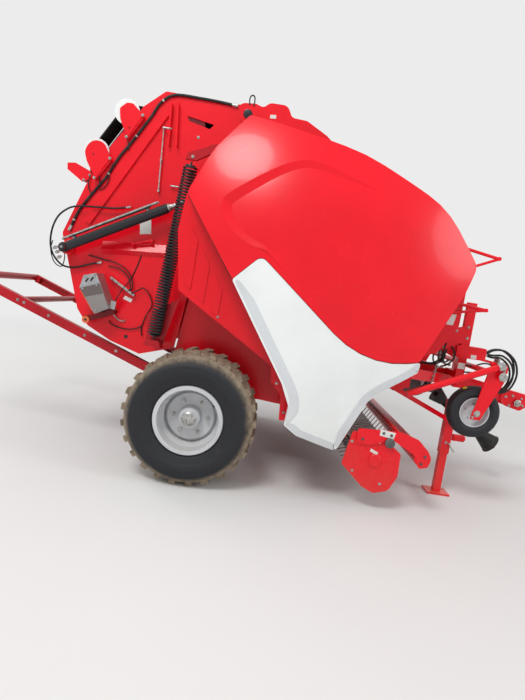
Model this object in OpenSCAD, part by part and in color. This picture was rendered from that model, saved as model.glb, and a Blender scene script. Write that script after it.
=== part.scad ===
// Towed round baler with belts, standing on its two wheels and its jack.
// X runs forward to the hitch, Y to the machine's left, Z up from the ground.
// Pieces are drawn about the axle, on the left side, and mirrored for the right.

/* [Overall] */
// Rearmost point of the raised bale kicker, behind the axle
kicker_tail = 1950; // [1900:10:2100]
// Foremost point of the hitch ring, ahead of the axle
hitch_tip = 3450; // [3300:10:3600]
// Height of the bale chamber's side plates at the hump
frame_top = 2755; // [2720:5:2800]

/* [Chamber] */
// Clear width between the chamber's side plates
chamber_w = 1230; // [1180:5:1240]
// Thickness of the side plates
plate_t = 8; // [6:1:12]
// Gap between a frame plate and the tailgate plate beside it
plate_gap = 16; // [12:1:22]
// Radius of the tailgate's hinge pins
pivot_r = 35; // [28:1:42]
// Radial running clearance of pins and axles
run_fit = 0.05; // [0.03:0.01:0.1]

/* [Wheels] */
// Outer diameter of the main tyres
tyre_d = 920; // [900:2:940]
// Width of the main tyres
tyre_w = 500; // [440:5:520]
// Distance between the main wheels' centre planes
track = 2000; // [1980:5:2040]
// Diameter of the rim's flanges
rim_d = 480; // [460:2:490]
// Width of the rim between its flanges
rim_w = 420; // [400:5:430]
// Height of the tread lugs
lug_h = 10; // [8:1:18]
// Number of lugs on each half of the tread
lug_n = 25; // [18:1:26]
// Radius of the axle's spindles
spindle_r = 42; // [36:1:46]
// Number of wheel studs
stud_n = 6; // [5:1:8]

/* [Covers] */
// Greatest half width over the side covers
cover_y = 1170; // [1150:5:1200]
// Radius of the covers' curve in plan
cover_plan_r = 3000; // [2600:50:3400]
// Radius of the covers' curve in height
cover_crown_r = 2600; // [2400:50:3200]
// Thickness of the cover sheets
cover_t = 6; // [4:1:8]
// Depth of the lip around each cover
cover_lip = 60; // [40:5:70]
// Gap between the red cover and the white panel
cover_gap = 5; // [3:1:8]
// Half width over the rear wing panels
wing_y = 960; // [955:5:965]

/* [Tailgate] */
// Radius of the end discs of the upper belt rollers
disc_r = 92; // [80:2:100]
// Outer diameter of the tension springs
spring_d = 104; // [90:2:110]
// Wire diameter of the tension springs
spring_wire = 14; // [10:1:16]
// Pitch of the spring's coils
spring_pitch = 21; // [18:1:26]
// Outer diameter of the tailgate cylinders
barrel_d = 68; // [60:1:72]
// Diameter of the cylinders' rods
rod_d = 35; // [30:1:40]
// Number of chamber belts side by side
belt_n = 5; // [4:1:6]
// Gap between neighbouring belts
belt_gap = 30; // [20:1:40]
// Thickness of a belt
belt_t = 8; // [6:1:10]

/* [Pickup] */
// Half width over the pickup's end plates
pickup_y = 1125; // [1090:5:1140]
// Number of tine bars on the reel
tine_bar_n = 5; // [4:1:6]
// Number of bands along the pickup
band_n = 24; // [20:1:28]
// Radius of the bands' front curve
band_r = 140; // [130:5:150]
// Distance from the reel's axis to the tines' tips
tine_reach = 205; // [190:5:210]
// Wire diameter of the tines
tine_wire = 7; // [5:1:8]

/* [Drawbar and jack] */
// Width of the drawbar's box beam
beam_w = 120; // [100:5:140]
// Height of the drawbar's box beam
beam_h = 110; // [90:5:130]
// Bore of the hitch ring
ring_bore = 50; // [40:1:60]
// Thickness of the hitch ring
ring_t = 30; // [25:1:40]
// Width of the jack's outer square tube
jack_w = 70; // [60:1:80]
// Wall of the jack's outer tube
jack_wall = 6; // [5:1:8]
// Outer diameter of the small gauge wheels
gauge_d = 390; // [360:5:400]
// Width of the small gauge wheels
gauge_w = 120; // [100:5:130]

/* [Hidden] */
$fn = 48;
red = "#c8102e";
dark_red = "#7d0f1e";
white = "#e8ece8";
grey = "#9a9c9e";
black = "#26272a";
steel = "#b4b6b8";

// The row's origin lies on the ground, below the middle of the whole machine
axle_x = (kicker_tail - hitch_tip) / 2;
axle_z = tyre_d / 2;

// Half widths of the plates' faces, from the middle outwards
frame_in = chamber_w / 2;
frame_out = frame_in + plate_t;
gate_in = frame_out + plate_gap;
gate_out = gate_in + plate_t;

// Joint axes, as [x, z] ahead of the axle and above the ground
gate_pivot = [65, 2640];
cylinder_butt = [-1125, 1490];
cylinder_eye = [-180, 2000];
pickup_pivot = [800, 640];
reel_axis = [1300, 360];
rotor_axis = [900, 720];
kicker_pivot = [-250, 600];
lid_pivot = [1310, 2168];
press_pivot = [1190, 500];
cover_pivot = [735, 2400];
pto_joint = [1960, 760];
wheel_y = track / 2;
gauge_axis = [2030, 745];
gauge_y = frame_out + 177;
jack_pos = [1985, 115 - frame_in];
cylinder_y = gate_out + 115;
spring_y = gate_out + 238;

// Round corners: each row of a table is [x, z, radius]
arc_step = 10;
function unit(v) = v / norm(v);
function wrap(a) = a > 180 ? a - 360 : a < -180 ? a + 360 : a;
function xz(row) = [row[0], row[1]];
function corner(p, q, s, r) =
    r == 0 ? [q] :
    let (a = unit(p - q), b = unit(s - q), half = acos(a * b) / 2)
    let (c = q + unit(a + b) * r / sin(half))
    let (t0 = q + a * r / tan(half) - c, t1 = q + b * r / tan(half) - c)
    let (a0 = atan2(t0[1], t0[0]), turn = wrap(atan2(t1[1], t1[0]) - a0))
    let (n = max(2, ceil(abs(turn) / arc_step)))
    [for (i = [0:n]) c + r * [cos(a0 + turn * i / n), sin(a0 + turn * i / n)]];
function rounded(t) =
    let (n = len(t))
    [for (i = [0:n - 1])
        each corner(xz(t[(i + n - 1) % n]), xz(t[i]), xz(t[(i + 1) % n]), t[i][2])];

// The machine's place in the row's frame, and its two sides
module at_axle() { translate([axle_x, 0, 0]) children(); }
module on_side(s) { mirror([0, s < 0 ? 1 : 0, 0]) children(); }
module both_sides() {
    for (s = [-1, 1]) on_side(s) children();
}

// A flat piece in the XZ plane between two half widths
module slab(y0, y1) {
    translate([0, y1, 0]) rotate([90, 0, 0]) linear_extrude(y1 - y0) children();
}
module plate(table, y0, y1) { slab(y0, y1) polygon(rounded(table)); }
module rod_y(p, r, y0, y1) {
    translate([p[0], y0, p[1]]) rotate([-90, 0, 0]) cylinder(r = r, h = y1 - y0);
}

// A square beam or a round bar between two points
module aim(p, q) {
    d = q - p;
    translate(p)
        rotate([0, -atan2(d[2], norm([d[0], d[1]])), atan2(d[1], d[0])])
        children();
}
module aim_z(p, q) {
    d = q - p;
    translate(p)
        rotate([0, acos(d[2] / norm(d)), atan2(d[1], d[0])])
        children();
}
module beam(p, q, w, h) {
    aim(p, q) translate([0, -w / 2, -h / 2]) cube([norm(q - p), w, h]);
}
module bar(p, q, r) { aim_z(p, q) cylinder(r = r, h = norm(q - p)); }

// A hose swept along a route of points with rings of hose_sides corners
hose_sides = 8;
function ring_dir(route, i) =
    unit(route[min(i + 1, len(route) - 1)] - route[max(i - 1, 0)]);
function ring_side(d) =
    abs(d[1]) > 0.9 ? unit(cross(d, [1, 0, 0])) : unit(cross(d, [0, 1, 0]));
function ring(route, i, r) =
    let (d = ring_dir(route, i), u = ring_side(d), v = cross(d, u))
    [for (k = [0:hose_sides - 1])
        route[i] + r * (cos(k * 360 / hose_sides) * u + sin(k * 360 / hose_sides) * v)];
module hose(route, r) { loft([for (i = [0:len(route) - 1]) ring(route, i, r)]); }
// A solid through a row of rings with equal numbers of points
module loft(rings) {
    n = len(rings);
    m = len(rings[0]);
    walls = [for (i = [0:n - 2], k = [0:m - 1])
        [i * m + k, i * m + (k + 1) % m, (i + 1) * m + (k + 1) % m, (i + 1) * m + k]];
    first = [for (k = [m - 1:-1:0]) k];
    last = [for (k = [0:m - 1]) (n - 1) * m + k];
    polyhedron([for (r = rings) each r], concat([first], walls, [last]));
}

// Main frame

spindle_end = wheel_y + 40;
module axle_beam() {
    at_axle() color(dark_red) difference() {
        union() {
            translate([-60, -gate_in - 60, axle_z - 60]) cube([120, 2 * gate_in + 120, 120]);
            both_sides() rod_y([0, axle_z], spindle_r, gate_in + 59, spindle_end);
            both_sides() rod_y([0, axle_z], spindle_r + 30, gate_in + 59, gate_in + 75);
        }
    }
}

// Outline of a fixed side plate: [x, z, corner radius]
frame_outline = [
    [-20, 2560, 0], [-20, 2725, 60], [110, 2735, 30], [180, 2710, 40],
    [200, frame_top, 50], [345, frame_top, 60], [385, 2675, 40], [500, 2668, 60],
    [660, 2585, 50], [830, 2450, 80], [1330, 2215, 60], [1460, 2080, 80],
    [1885, 1650, 60], [1880, 1345, 60], [1755, 1125, 60], [1600, 1060, 20], [1560, 1040, 0], [1560, 800, 30], [1240, 790, 60],
    [1010, 570, 60], [700, 540, 60], [420, 560, 100], [150, 390, 40],
    [-150, 390, 30], [-330, 560, 30], [-330, 640, 30], [-240, 860, 60]
];
module side_frames() {
    at_axle() color(red) both_sides() difference() {
        union() {
            plate(frame_outline, frame_in, frame_out);
            rod_y(gate_pivot, pivot_r, frame_out - 1, gate_out + 22);
            rod_y(gate_pivot, pivot_r + 20, frame_out - 1, gate_in - 3);
            rod_y(kicker_pivot, 25, frame_in - 70, frame_in + 1);
            translate([-120, frame_out - 1, axle_z - 70]) cube([240, 12, 140]);
            for (x = [330, 760])
                ring_mount(x);
        }
        translate([-60.3, frame_in - 1, axle_z - 60.3]) cube([120.6, plate_t + 20, 120.6]);
        rod_y(pickup_pivot, 22 + run_fit, frame_in - 1, frame_out + 1);
        rod_y(lid_pivot, 12 + run_fit, frame_in - 1, frame_out + 1);
        rod_y(rotor_axis, 30 + run_fit, frame_in - 1, frame_out + 1);
    }
}
// Two lugs that reach back around the tailgate's plate to the cylinder's eye
eye_gap = 6;
module cylinder_brackets() {
    e = cylinder_eye;
    at_axle() color(red) both_sides() union() {
        translate([-50, frame_out + 0.3, e[1] - 55]) cube([80, cylinder_y + 34 - frame_out, 110]);
        for (y = [cylinder_y - 28 - eye_gap, cylinder_y + 20 + eye_gap])
            plate([
                [e[0] - 42, e[1] - 42, 40], [-15, e[1] - 55, 0], [-15, e[1] + 55, 0],
                [e[0] - 42, e[1] + 42, 40]
            ], y, y + 8);
        for (y = [cylinder_y - 36 - eye_gap, cylinder_y + 26 + eye_gap])
            rod_y(e, 22, y, y + 10);
    }
}
// Lug that carries a cover's hinge pin
module ring_mount(x) {
    difference() {
        union() {
            translate([x - 15, frame_out - 1, cover_pivot[1] - 25])
                cube([30, cover_pivot[0] - frame_out, 50]);
            translate([x - 15, cover_pivot[0], cover_pivot[1]])
                rotate([0, 90, 0]) cylinder(r = 25, h = 30);
        }
        translate([x - 16, cover_pivot[0], cover_pivot[1]])
            rotate([0, 90, 0]) cylinder(r = 10 + run_fit, h = 32);
    }
}

// Tubes across the frame: [x, z, width, height]
cross_tubes = [
    [440, 2560, 80, 80], [1480, 1090, 80, 80], [1440, 900, 100, 100],
    [560, 600, 60, 60], [1100, 2215, 50, 50], [-150, 760, 60, 60]
];
module crossmembers() {
    at_axle() color(dark_red)
        for (t = cross_tubes)
            translate([t[0] - t[2] / 2, -frame_in + 0.3, t[1] - t[3] / 2])
                cube([t[2], 2 * frame_in - 0.6, t[3]]);
}

// Fixed belt rollers: [x, z, radius]
front_roller_table = [
    [270, 2640, 85], [620, 2530, 45], [960, 2220, 60], [950, 1330, 70],
    [420, 900, 90], [130, 860, 80]
];
module front_rollers() {
    at_axle() color(grey)
        for (t = front_roller_table)
            rod_y([t[0], t[1]], t[2], -frame_in + 0.3, frame_in - 0.3);
}

belt_w = (chamber_w - 60 - (belt_n - 1) * belt_gap) / belt_n;
module belts(loop_table) {
    for (i = [0:belt_n - 1]) {
        y = -frame_in + 30 + i * (belt_w + belt_gap);
        slab(y, y + belt_w) difference() {
            belt_outline(loop_table, belt_t + 0.5);
            belt_outline(loop_table, 0.5);
        }
    }
}
// Points of a belt around rollers listed anticlockwise: [x, z, radius]
function leave_angle(a, b, grow) =
    let (d = [b[0] - a[0], b[1] - a[1]])
    atan2(d[1], d[0]) - 90 + asin((a[2] - b[2]) / norm(d));
function loop_points(t, grow) =
    let (n = len(t))
    [for (i = [0:n - 1])
        let (c = t[i], from = leave_angle(t[(i + n - 1) % n], c, grow))
        let (to = leave_angle(c, t[(i + 1) % n], grow))
        let (turn = to - from < 0 ? to - from + 360 : to - from)
        let (m = max(1, ceil(turn / arc_step)))
        for (k = [0:m]) [c[0], c[1]] + (c[2] + grow) *
            [cos(from + turn * k / m), sin(from + turn * k / m)]];
module belt_outline(t, grow) { polygon(loop_points(t, grow)); }
module front_belts() {
    at_axle() color(black) belts([for (i = [4, 3, 2, 1, 0]) front_roller_table[i]]);
}

module feed_floor() {
    at_axle() color(dark_red) plate([
        [600, 560, 0], [700, 500, 60], [880, 470, 100], [1000, 490, 0],
        [998, 502, 0], [880, 482, 112], [704, 511, 48], [608, 569, 0]
    ], -frame_in + 0.3, frame_in - 0.3);
}

// Sprockets of a side drive: [x, z, radius]
drive_table = [[350, 1250, 130], [900, 720, 150], [1150, 1180, 90]];
drive_y = frame_out + 90;
module side_drives() {
    at_axle() color(steel) both_sides() union() {
        for (t = drive_table)
            rod_y([t[0], t[1]], t[2], drive_y - 10, drive_y + 10);
        for (t = drive_table)
            rod_y([t[0], t[1]], 22, frame_out + (t[0] == rotor_axis[0] ? 6 : 0.3), drive_y);
        slab(drive_y - 14, drive_y + 14) difference() {
            belt_outline(drive_table, 8);
            belt_outline(drive_table, -12);
        }
    }
}

module gearbox() {
    at_axle() color(grey) union() {
        translate([1592, -140, 715]) cube([220, 280, 150]);
        rod_y([1640, 800], 40, 0, frame_out + 20);
        plate([
            [1420, 800, 55], [1700, 740, 55], [1700, 860, 55], [1420, 920, 55]
        ], frame_out + 0.3, frame_out + 50);
        translate([1811, 0, pto_joint[1]]) rotate([0, 90, 0]) cylinder(r = 60, h = 40);
        translate([1811, 0, pto_joint[1]]) rotate([0, 90, 0]) cylinder(r = 20, h = 110);
        translate([pto_joint[0] - 46, -42, pto_joint[1] - 25]) cube([14, 84, 50]);
        both_sides() plate([
            [pto_joint[0] - 40, pto_joint[1] - 25, 0], [pto_joint[0] + 25, pto_joint[1] - 25, 24],
            [pto_joint[0] + 25, pto_joint[1] + 25, 24], [pto_joint[0] - 40, pto_joint[1] + 25, 0]
        ], 30, 42);
        rod_y(pto_joint, 12, -31, 31);
    }
}

// Drawbar and what it carries

beam_mid = [2150, 0, 880];
hitch_z = 720;
ring_r = ring_bore / 2 + 45;
module drawbar() {
    at_axle() color(red) difference() {
        union() {
            beam([1562, 0, 1000], beam_mid, beam_w + 60, 120);
            beam(beam_mid - [40, 0, 0], [3040, 0, hitch_z + 25], beam_w, beam_h);
            translate([1560.3, -frame_out, 820]) cube([30, 2 * frame_out, 220]);
            both_sides() beam([1575, frame_in - 60, 930], [2190, 40, 870], 80, 80);
            beam([1425, -frame_in + 24, 826], [2010, -frame_in + 66, 590], 40, 36);
            beam([jack_pos[0] + 5, jack_pos[1] + 10, 600], [2230, -60, 810], 50, 50);
            translate([3000, -90, hitch_z - 60]) cube([60, 180, 160]);
            translate([2130, -50, 880]) cube([40, 100, 190]);
            both_sides() plate([
                [2550, 790, 20], [2580, 850, 20], [2790, 815, 20], [2800, 740, 40],
                [2740, 690, 40], [2600, 720, 20]
            ], beam_w / 2 - 1, beam_w / 2 + 14);
            rod_y([2704, 758], 22, -beam_w / 2 - 28, beam_w / 2 + 28);
            jack_box(jack_w, 330, 760);
        }
        jack_box(jack_w - 2 * jack_wall, 329, 750);
    }
}
// An upright square around the jack's axis, between two heights
module jack_box(w, z0, z1) {
    translate([jack_pos[0] - w / 2, jack_pos[1] - w / 2, z0]) cube([w, w, z1 - z0]);
}
module jack_leg() {
    inner = jack_w - 2 * jack_wall - 1;
    at_axle() color(red) translate([jack_pos[0], jack_pos[1], 0]) union() {
        translate([-inner / 2, -inner / 2, 8]) cube([inner, inner, 380]);
        translate([-90, -80, 0]) cube([180, 160, 12]);
    }
}
module hitch_eye() {
    at_axle() color(steel) difference() {
        union() {
            translate([hitch_tip - ring_r, 0, hitch_z - ring_t / 2])
                cylinder(r = ring_r, h = ring_t);
            translate([3060.3, -35, hitch_z - ring_t / 2])
                cube([hitch_tip - ring_r - 3060.3, 70, ring_t]);
            translate([3060.3, -80, hitch_z - 55]) cube([25, 160, 110]);
        }
        translate([hitch_tip - ring_r, 0, hitch_z - ring_t])
            cylinder(r = ring_bore / 2, h = 2 * ring_t);
    }
}
module mast() {
    at_axle() color(red) union() {
        translate([2020, -360, 850]) cube([70, 50, 700]);
        translate([2020, -360, 929.4]) cube([70, 259, 50]);
        translate([1980, -400, 1100]) cube([240, 130, 90]);
        beam([2090, -335, 1120], [2420, -260, 1080], 30, 20);
        translate([2340, -308, 1066]) cube([110, 96, 24]);
        on_side(-1) plate([
            [1961, 1337, 15], [2075, 1371, 15], [2080, 1240, 0], [1986, 1204, 10],
            [1993, 1083, 15], [1853, 1143, 15], [1893, 1311, 15]
        ], 359, 371);
        translate([1880, -330, 1150]) cube([141, 160, 120]);
        for (i = [0:3]) translate([1960, -305 + i * 36, 1269]) cylinder(r = 14, h = 40);
    }
}

// Hydraulic hoses, parked in a loop ahead of the mast
hose_route_a = [
    [2220.4, -345, 1150], [2240, -345, 1150], [2300, -340, 1195], [2400, -330, 1200],
    [2500, -320, 1130], [2540, -310, 1010], [2505, -300, 890], [2425, -295, 850],
    [2365, -292, 900], [2360, -290, 980], [2380, -290, 1040], [2380, -290, 1065.6]
];
module hose_bundle() {
    at_axle() color(black)
        for (k = [0:3]) translate([0, 20 * k, 0]) hose(hose_route_a, 9);
}

// Net box with its lid, at the front above the pickup
lid_y = frame_in - 6;
module net_box() {
    at_axle() color(red) union() {
        plate([
            [1050, 2290, 0], [1050, 1250, 20], [1600, 1165, 0], [1740, 1142, 30],
            [1868, 1360, 30], [1874, 1490, 0], [1866, 1490, 0], [1860, 1363, 30],
            [1736, 1151, 30], [1600, 1173, 0], [1057, 1256, 20], [1057, 2282, 0],
            [1280, 2192, 0], [1284, 2199, 0]
        ], -frame_in + 0.3, frame_in - 0.3);
    }
}
module net_lid() {
    at_axle() color(red) union() {
        plate([
            [1300, 2190, 0], [1450, 2130, 100], [1875, 1690, 140], [1882, 1500, 0],
            [1874, 1500, 0], [1867, 1686, 132], [1446, 2122, 92], [1298, 2182, 0]
        ], -lid_y, lid_y);
        rod_y(lid_pivot, 12, -frame_out - 4, frame_out + 4);
    }
}

// Fixed rear wing panels, with three raised ribs
wing_outline = [
    [-245, 1990, 30], [-275, 1720, 60], [-220, 1310, 40], [500, 880, 20], [520, 770, 20],
    [600, 680, 20], [615, 500, 10], [700, 500, 10], [700, 1400, 60], [100, 2020, 40]
];
// Raised ribs: [x, z] of the top corner, and the length
wing_ribs = [[-186, 1754, 390], [-84, 1600, 315], [26, 1440, 235]];
module wings() {
    at_axle() color(red) both_sides() union() {
        plate(wing_outline, wing_y - 8, wing_y);
        for (t = wing_ribs)
            slab(wing_y - 1, wing_y + 10)
                translate(xz(t)) polygon([
                    [0, 0], [60, -90], [52, -t[2] - 40], [-8, -t[2]], [-24, -t[2] * 0.55]
                ]);
        slab(wing_y - 70, wing_y - 7) polygon([
            [-216, 1316], [498, 884], [498, 893], [-214, 1325]
        ]);
        for (p = [[130, 1800], [40, 1300], [650, 640]])
            slab(frame_out + 0.3, wing_y - 7) translate(p) square([8, 90], center = true);
    }
}

// Bent guard bars beside the net box: two feet and the tip between them, as [x, z]
rail_table = [
    [[1500, 1978], [2075, 1889], [1590, 1662]], [[1560, 1544], [2052, 1497], [1560, 1398]]
];
rail_r = 12;
module guard_rails() {
    y = frame_out + rail_r + 0.3;
    at_axle() color(red) both_sides()
        for (t = rail_table) union() {
            bar([t[0][0], y, t[0][1]], [t[1][0], y, t[1][1]], rail_r);
            bar([t[2][0], y, t[2][1]], [t[1][0], y, t[1][1] - 2], rail_r - 1.5);
            rod_y(t[1], rail_r + 3, y - rail_r - 1, y + rail_r + 1);
        }
}

gauge_arm_axis = [2150, 1040];
module gauge_arms() {
    out = gauge_y + gauge_w / 2;
    at_axle() color(red) both_sides() union() {
        bar([1500, out + 42, 815], [2110, out + 42, 1100], 24);
        slab(out + 12, out + 24) polygon([
            [2070, 1130], [2190, 1110], [2190, 1020], [2100, 800], [2060, 700],
            [1990, 700], [2010, 800]
        ]);
        rod_y(gauge_arm_axis, 22, 50.3, out + 60);
        rod_y(gauge_axis, 15, gauge_y - gauge_w / 2 - 5, out + 13);
    }
}

// Side covers

plan_x = 500;
crown_z = 1500;
// Radius of the skin's outside at a height above its crown's start
function skin_r(z) = cover_plan_r - cover_crown_r
    + sqrt(pow(cover_crown_r, 2) - pow(max(z - crown_z, 0), 2));
// Section of the covers' skin, turned about an upright axis
module skin_section(depth, proud) {
    translate([cover_plan_r - depth, 0]) square([depth + proud, crown_z]);
    intersection() {
        translate([cover_plan_r - cover_crown_r, crown_z]) difference() {
            circle(r = cover_crown_r + proud);
            circle(r = cover_crown_r - depth);
        }
        translate([cover_plan_r - 900, crown_z]) square([1000, 1300]);
    }
}
module skin(depth, proud = 0) {
    translate([plan_x, cover_y - cover_plan_r, 0])
        rotate([0, 0, 60]) rotate_extrude(angle = 60, $fn = 240) skin_section(depth, proud);
}
// Half width of the covers' outside at a point [x, z]
function skin_y(p) =
    cover_y - cover_plan_r + sqrt(pow(skin_r(p[1]), 2) - pow(p[0] - plan_x, 2));
module lip(table) {
    intersection() {
        skin(cover_lip);
        slab(300, cover_y + 50) difference() {
            polygon(rounded(table));
            offset(delta = -cover_t) polygon(rounded(table));
        }
    }
}
// Sunken field of the cover: the line of its outer edge from below the rear to the front.
// Its floor is the skin tipped inwards about a point where it comes out again
crease_line = [
    [600, 1440], [520, 1512], [430, 1590], [345, 1650], [250, 1672], [155, 1716], [74, 1783],
    [26, 1856], [15, 1920], [29, 1967], [63, 2003], [147, 2069], [246, 2142], [346, 2209],
    [448, 2262], [532, 2284], [620, 2279], [719, 2257], [818, 2226], [936, 2191], [1036, 2158]
];
crease_mid = [815, 1810];
crease_dip = [0.0355, 0.0229];
// The line with each of its corners cut once
function eased(t) =
    concat([t[0]], [for (i = [1:len(t) - 2]) each [(3 * t[i] + t[i - 1]) / 4,
        (3 * t[i] + t[i + 1]) / 4]], [t[len(t) - 1]]);
crease_edge = eased(crease_line);
function crease_in(i) =
    let (n = len(crease_edge), d = unit(crease_edge[min(i + 1, n - 1)] - crease_edge[max(i - 1, 0)]))
    [d[1], -d[0]];
function crease_moved(by) =
    [for (i = [0:len(crease_edge) - 1]) crease_edge[i] + by * crease_in(i)];
module tipped() {
    pivot = [crease_mid[0], skin_y(crease_mid), crease_mid[1]];
    translate(pivot) rotate([atan(crease_dip[1]), 0, atan(crease_dip[0])])
        translate(-pivot) children();
}
module crease() {
    difference() {
        intersection() {
            skin(45);
            tipped() skin(12, 60);
            slab(300, cover_y + 50) polygon(concat(crease_moved(-6), [[1120, 2107], [680, 1390]]));
        }
        intersection() {
            tipped() skin(0, 62);
            slab(290, cover_y + 60) polygon(concat(crease_moved(0), [[1300, 2300], [1300, 1200]]));
        }
    }
}
seam = [[1124, 983, 700], [330, 1612, 50], [157, 1433, 20]];
cover_outline = [
    [108, 2557, 25], [919, 2400, 1500], [1550, 2142, 700], [1858, 1784, 80],
    [1785, 1570, 800], [1524, 1064, 30], [seam[0][0], seam[0][1] + cover_gap, 700],
    [seam[1][0], seam[1][1] + cover_gap, 50], [seam[2][0], seam[2][1] + cover_gap, 0],
    [-233, 1969, 60], [-95, 2285, 400]
];
panel_outline = [
    [1535, 1058, 15], seam[0], seam[1], seam[2], [585, 800, 80], [655, 650, 60],
    [643, 520, 15], [735, 458, 20], [1001, 388, 30], [1030, 402, 20], [1190, 748, 120],
    [1265, 820, 120], [1522, 985, 20]
];
module cover() {
    at_axle() color(red) union() {
        intersection() {
            skin(cover_t);
            slab(300, cover_y + 50) difference() {
                polygon(rounded(cover_outline));
                polygon(concat(crease_moved(-3), [[1056, 2146], [614, 1428]]));
            }
        }
        lip(cover_outline);
        crease();
        for (x = [370, 800]) hinge_arm(x);
        for (t = [0.4, 0.62, 0.85]) seam_bolt(t);
    }
}
module hinge_arm(x) {
    difference() {
        union() {
            translate([x - 15, cover_pivot[0], cover_pivot[1]])
                rotate([0, 90, 0]) cylinder(r = 22, h = 20);
            translate([x - 15, cover_pivot[0], cover_pivot[1] - 15]) cube([20, 320, 30]);
            translate([x - 70, cover_pivot[0], cover_pivot[1]])
                rotate([0, 90, 0]) cylinder(r = 10, h = 56);
        }
        translate([plan_x, cover_y - cover_plan_r, 0]) difference() {
            cylinder(r = cover_plan_r + 400, h = 3000, $fn = 96);
            translate([0, 0, -1])
                cylinder(r = skin_r(cover_pivot[1] + 15) - 2.5, h = 3002, $fn = 96);
        }
    }
}
// Bolt between the red cover's lip and the white panel's, at a part of the seam
module seam_bolt(t) {
    p = (1 - t) * xz(seam[0]) + t * xz(seam[1]);
    slope = atan2(seam[0][1] - seam[1][1], seam[0][0] - seam[1][0]);
    bulge = sqrt(pow(cover_plan_r, 2) - pow(p[0] - plan_x, 2)) - cover_plan_r;
    translate([p[0], cover_y + bulge - cover_lip / 2, p[1]]) rotate([0, -slope, 0])
        translate([0, 0, 0.3]) cylinder(r = 7, h = cover_gap * cos(slope) + 0.7);
}
module lower_panel() {
    at_axle() color(white) union() {
        intersection() {
            skin(cover_t);
            plate(panel_outline, 300, cover_y + 50);
        }
        lip(panel_outline);
    }
}
module cover_right() { on_side(-1) cover(); }
module cover_left() { on_side(1) cover(); }
module lower_panel_right() { on_side(-1) lower_panel(); }
module lower_panel_left() { on_side(1) lower_panel(); }

// Tailgate

gate_outline = [
    [120, 2700, 50], [-550, 2718, 30], [-700, 2590, 60], [-900, 2290, 0],
    [-1060, 1970, 0], [-1195, 1600, 40], [-1110, 1340, 40], [-1020, 1050, 60],
    [-930, 935, 60], [-745, 845, 20], [-510, 775, 20], [-250, 860, 30],
    [-40, 2500, 80], [120, 2580, 50]
];
module tailgate_sides() {
    at_axle() color(red) both_sides() difference() {
        union() {
            plate(gate_outline, gate_in, gate_out);
            rod_y(gate_pivot, pivot_r + 30, gate_in, gate_out + 12);
            beam([-525, gate_out + 9, 2560], [-1010, gate_out + 9, 1700], 20, 40);
            translate([-880, gate_out - 0.5, 1505]) rotate([0, -4.5, 0]) rotate([90, 0, 90])
                linear_extrude(482) polygon([[0, -18], [26, 18], [0, 80]]);
            rod_y(cylinder_butt, 45, gate_out - 1, cylinder_y - 42);
            rod_y(cylinder_butt, 24, gate_out, cylinder_y - 26);
            rod_y(cylinder_butt, 18, gate_out, cylinder_y + 45);
        }
        rod_y(gate_pivot, pivot_r + run_fit, gate_in - 1, gate_out + 13);
        slab(gate_in - 1, gate_out + 1)
            polygon([[-375, 2570], [-170, 2535], [-200, 2500], [-355, 2535]]);
    }
}
gate_tubes = [[-720, 880, 80, 50], [-1080, 1450, 60, 60], [-300, 2645, 80, 50]];
module tailgate_crossmembers() {
    at_axle() color(dark_red)
        for (t = gate_tubes)
            translate([t[0] - t[2] / 2, -gate_in + 0.3, t[1] - t[3] / 2])
                cube([t[2], 2 * gate_in - 0.6, t[3]]);
}
gate_roller_table = [
    [-810, 2530, 70], [-1000, 2220, 70], [-860, 1080, 55], [-520, 920, 60],
    [-180, 2540, 60]
];
module tailgate_rollers() {
    at_axle() color(grey) union() {
        for (t = gate_roller_table)
            rod_y([t[0], t[1]], t[2], -gate_in + 0.3, gate_in - 0.3);
    }
}
module tailgate_belts() { at_axle() color(black) belts(gate_roller_table); }
// Discs on the ends of the two upper rollers, outside the plates
module roller_discs() {
    at_axle() color(white) both_sides()
        for (i = [0, 1]) union() {
            rod_y(xz(gate_roller_table[i]), disc_r, gate_out + 6, gate_out + 22);
            rod_y(xz(gate_roller_table[i]), 25, gate_out + 0.3, gate_out + 25.7);
        }
}
// Tongues over the discs, and the two points of the strip that carries each
disc_tongues = [
    [[-688, 2520, 10], [-770, 2590, 30], [-815, 2588, 20], [-862, 2545, 20], [-850, 2470, 30],
        [-785, 2345, 10]],
    [[-888, 2188, 10], [-945, 2288, 70], [-1035, 2300, 70], [-1085, 2215, 70], [-1060, 2140, 60],
        [-985, 2022, 10]]
];
disc_strips = [[[-688, 2515], [-788, 2348]], [[-890, 2180], [-988, 2025]]];
// Standing fins on the tailgate's plates: [x, z] of the foot and of the top
fin_table = [[[-477, 2336], [-491, 2632]], [[-418, 2337], [-444, 2646]]];
module strip(p, q, w, y0, y1) {
    slab(y0, y1) translate(p) rotate(atan2(q[1] - p[1], q[0] - p[0]))
        translate([0, -w / 2]) square([norm(q - p), w]);
}
module tailgate_fittings() {
    y = gate_out + 0.3;
    at_axle() color(red) both_sides() union() {
        for (i = [0, 1]) {
            strip(disc_strips[i][0], disc_strips[i][1], 24, y, gate_out + 27);
            plate(disc_tongues[i], gate_out + 26, gate_out + 34);
            for (p = disc_strips[i]) rod_y(p, 11, gate_out + 26, gate_out + 44);
        }
        for (t = fin_table) strip(t[0], t[1], 8, y, gate_out + 45);
        strip([-788, 1325], [-595, 1213], 28, y, gate_out + 24);
        bar([-646, gate_out + 34, 1594], [-515, gate_out + 34, 1636], 8);
        translate([-646, gate_out + 34, 1594]) sphere(r = 17);
        rod_y([-515, 1636], 14, y, gate_out + 42);
    }
}
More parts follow.
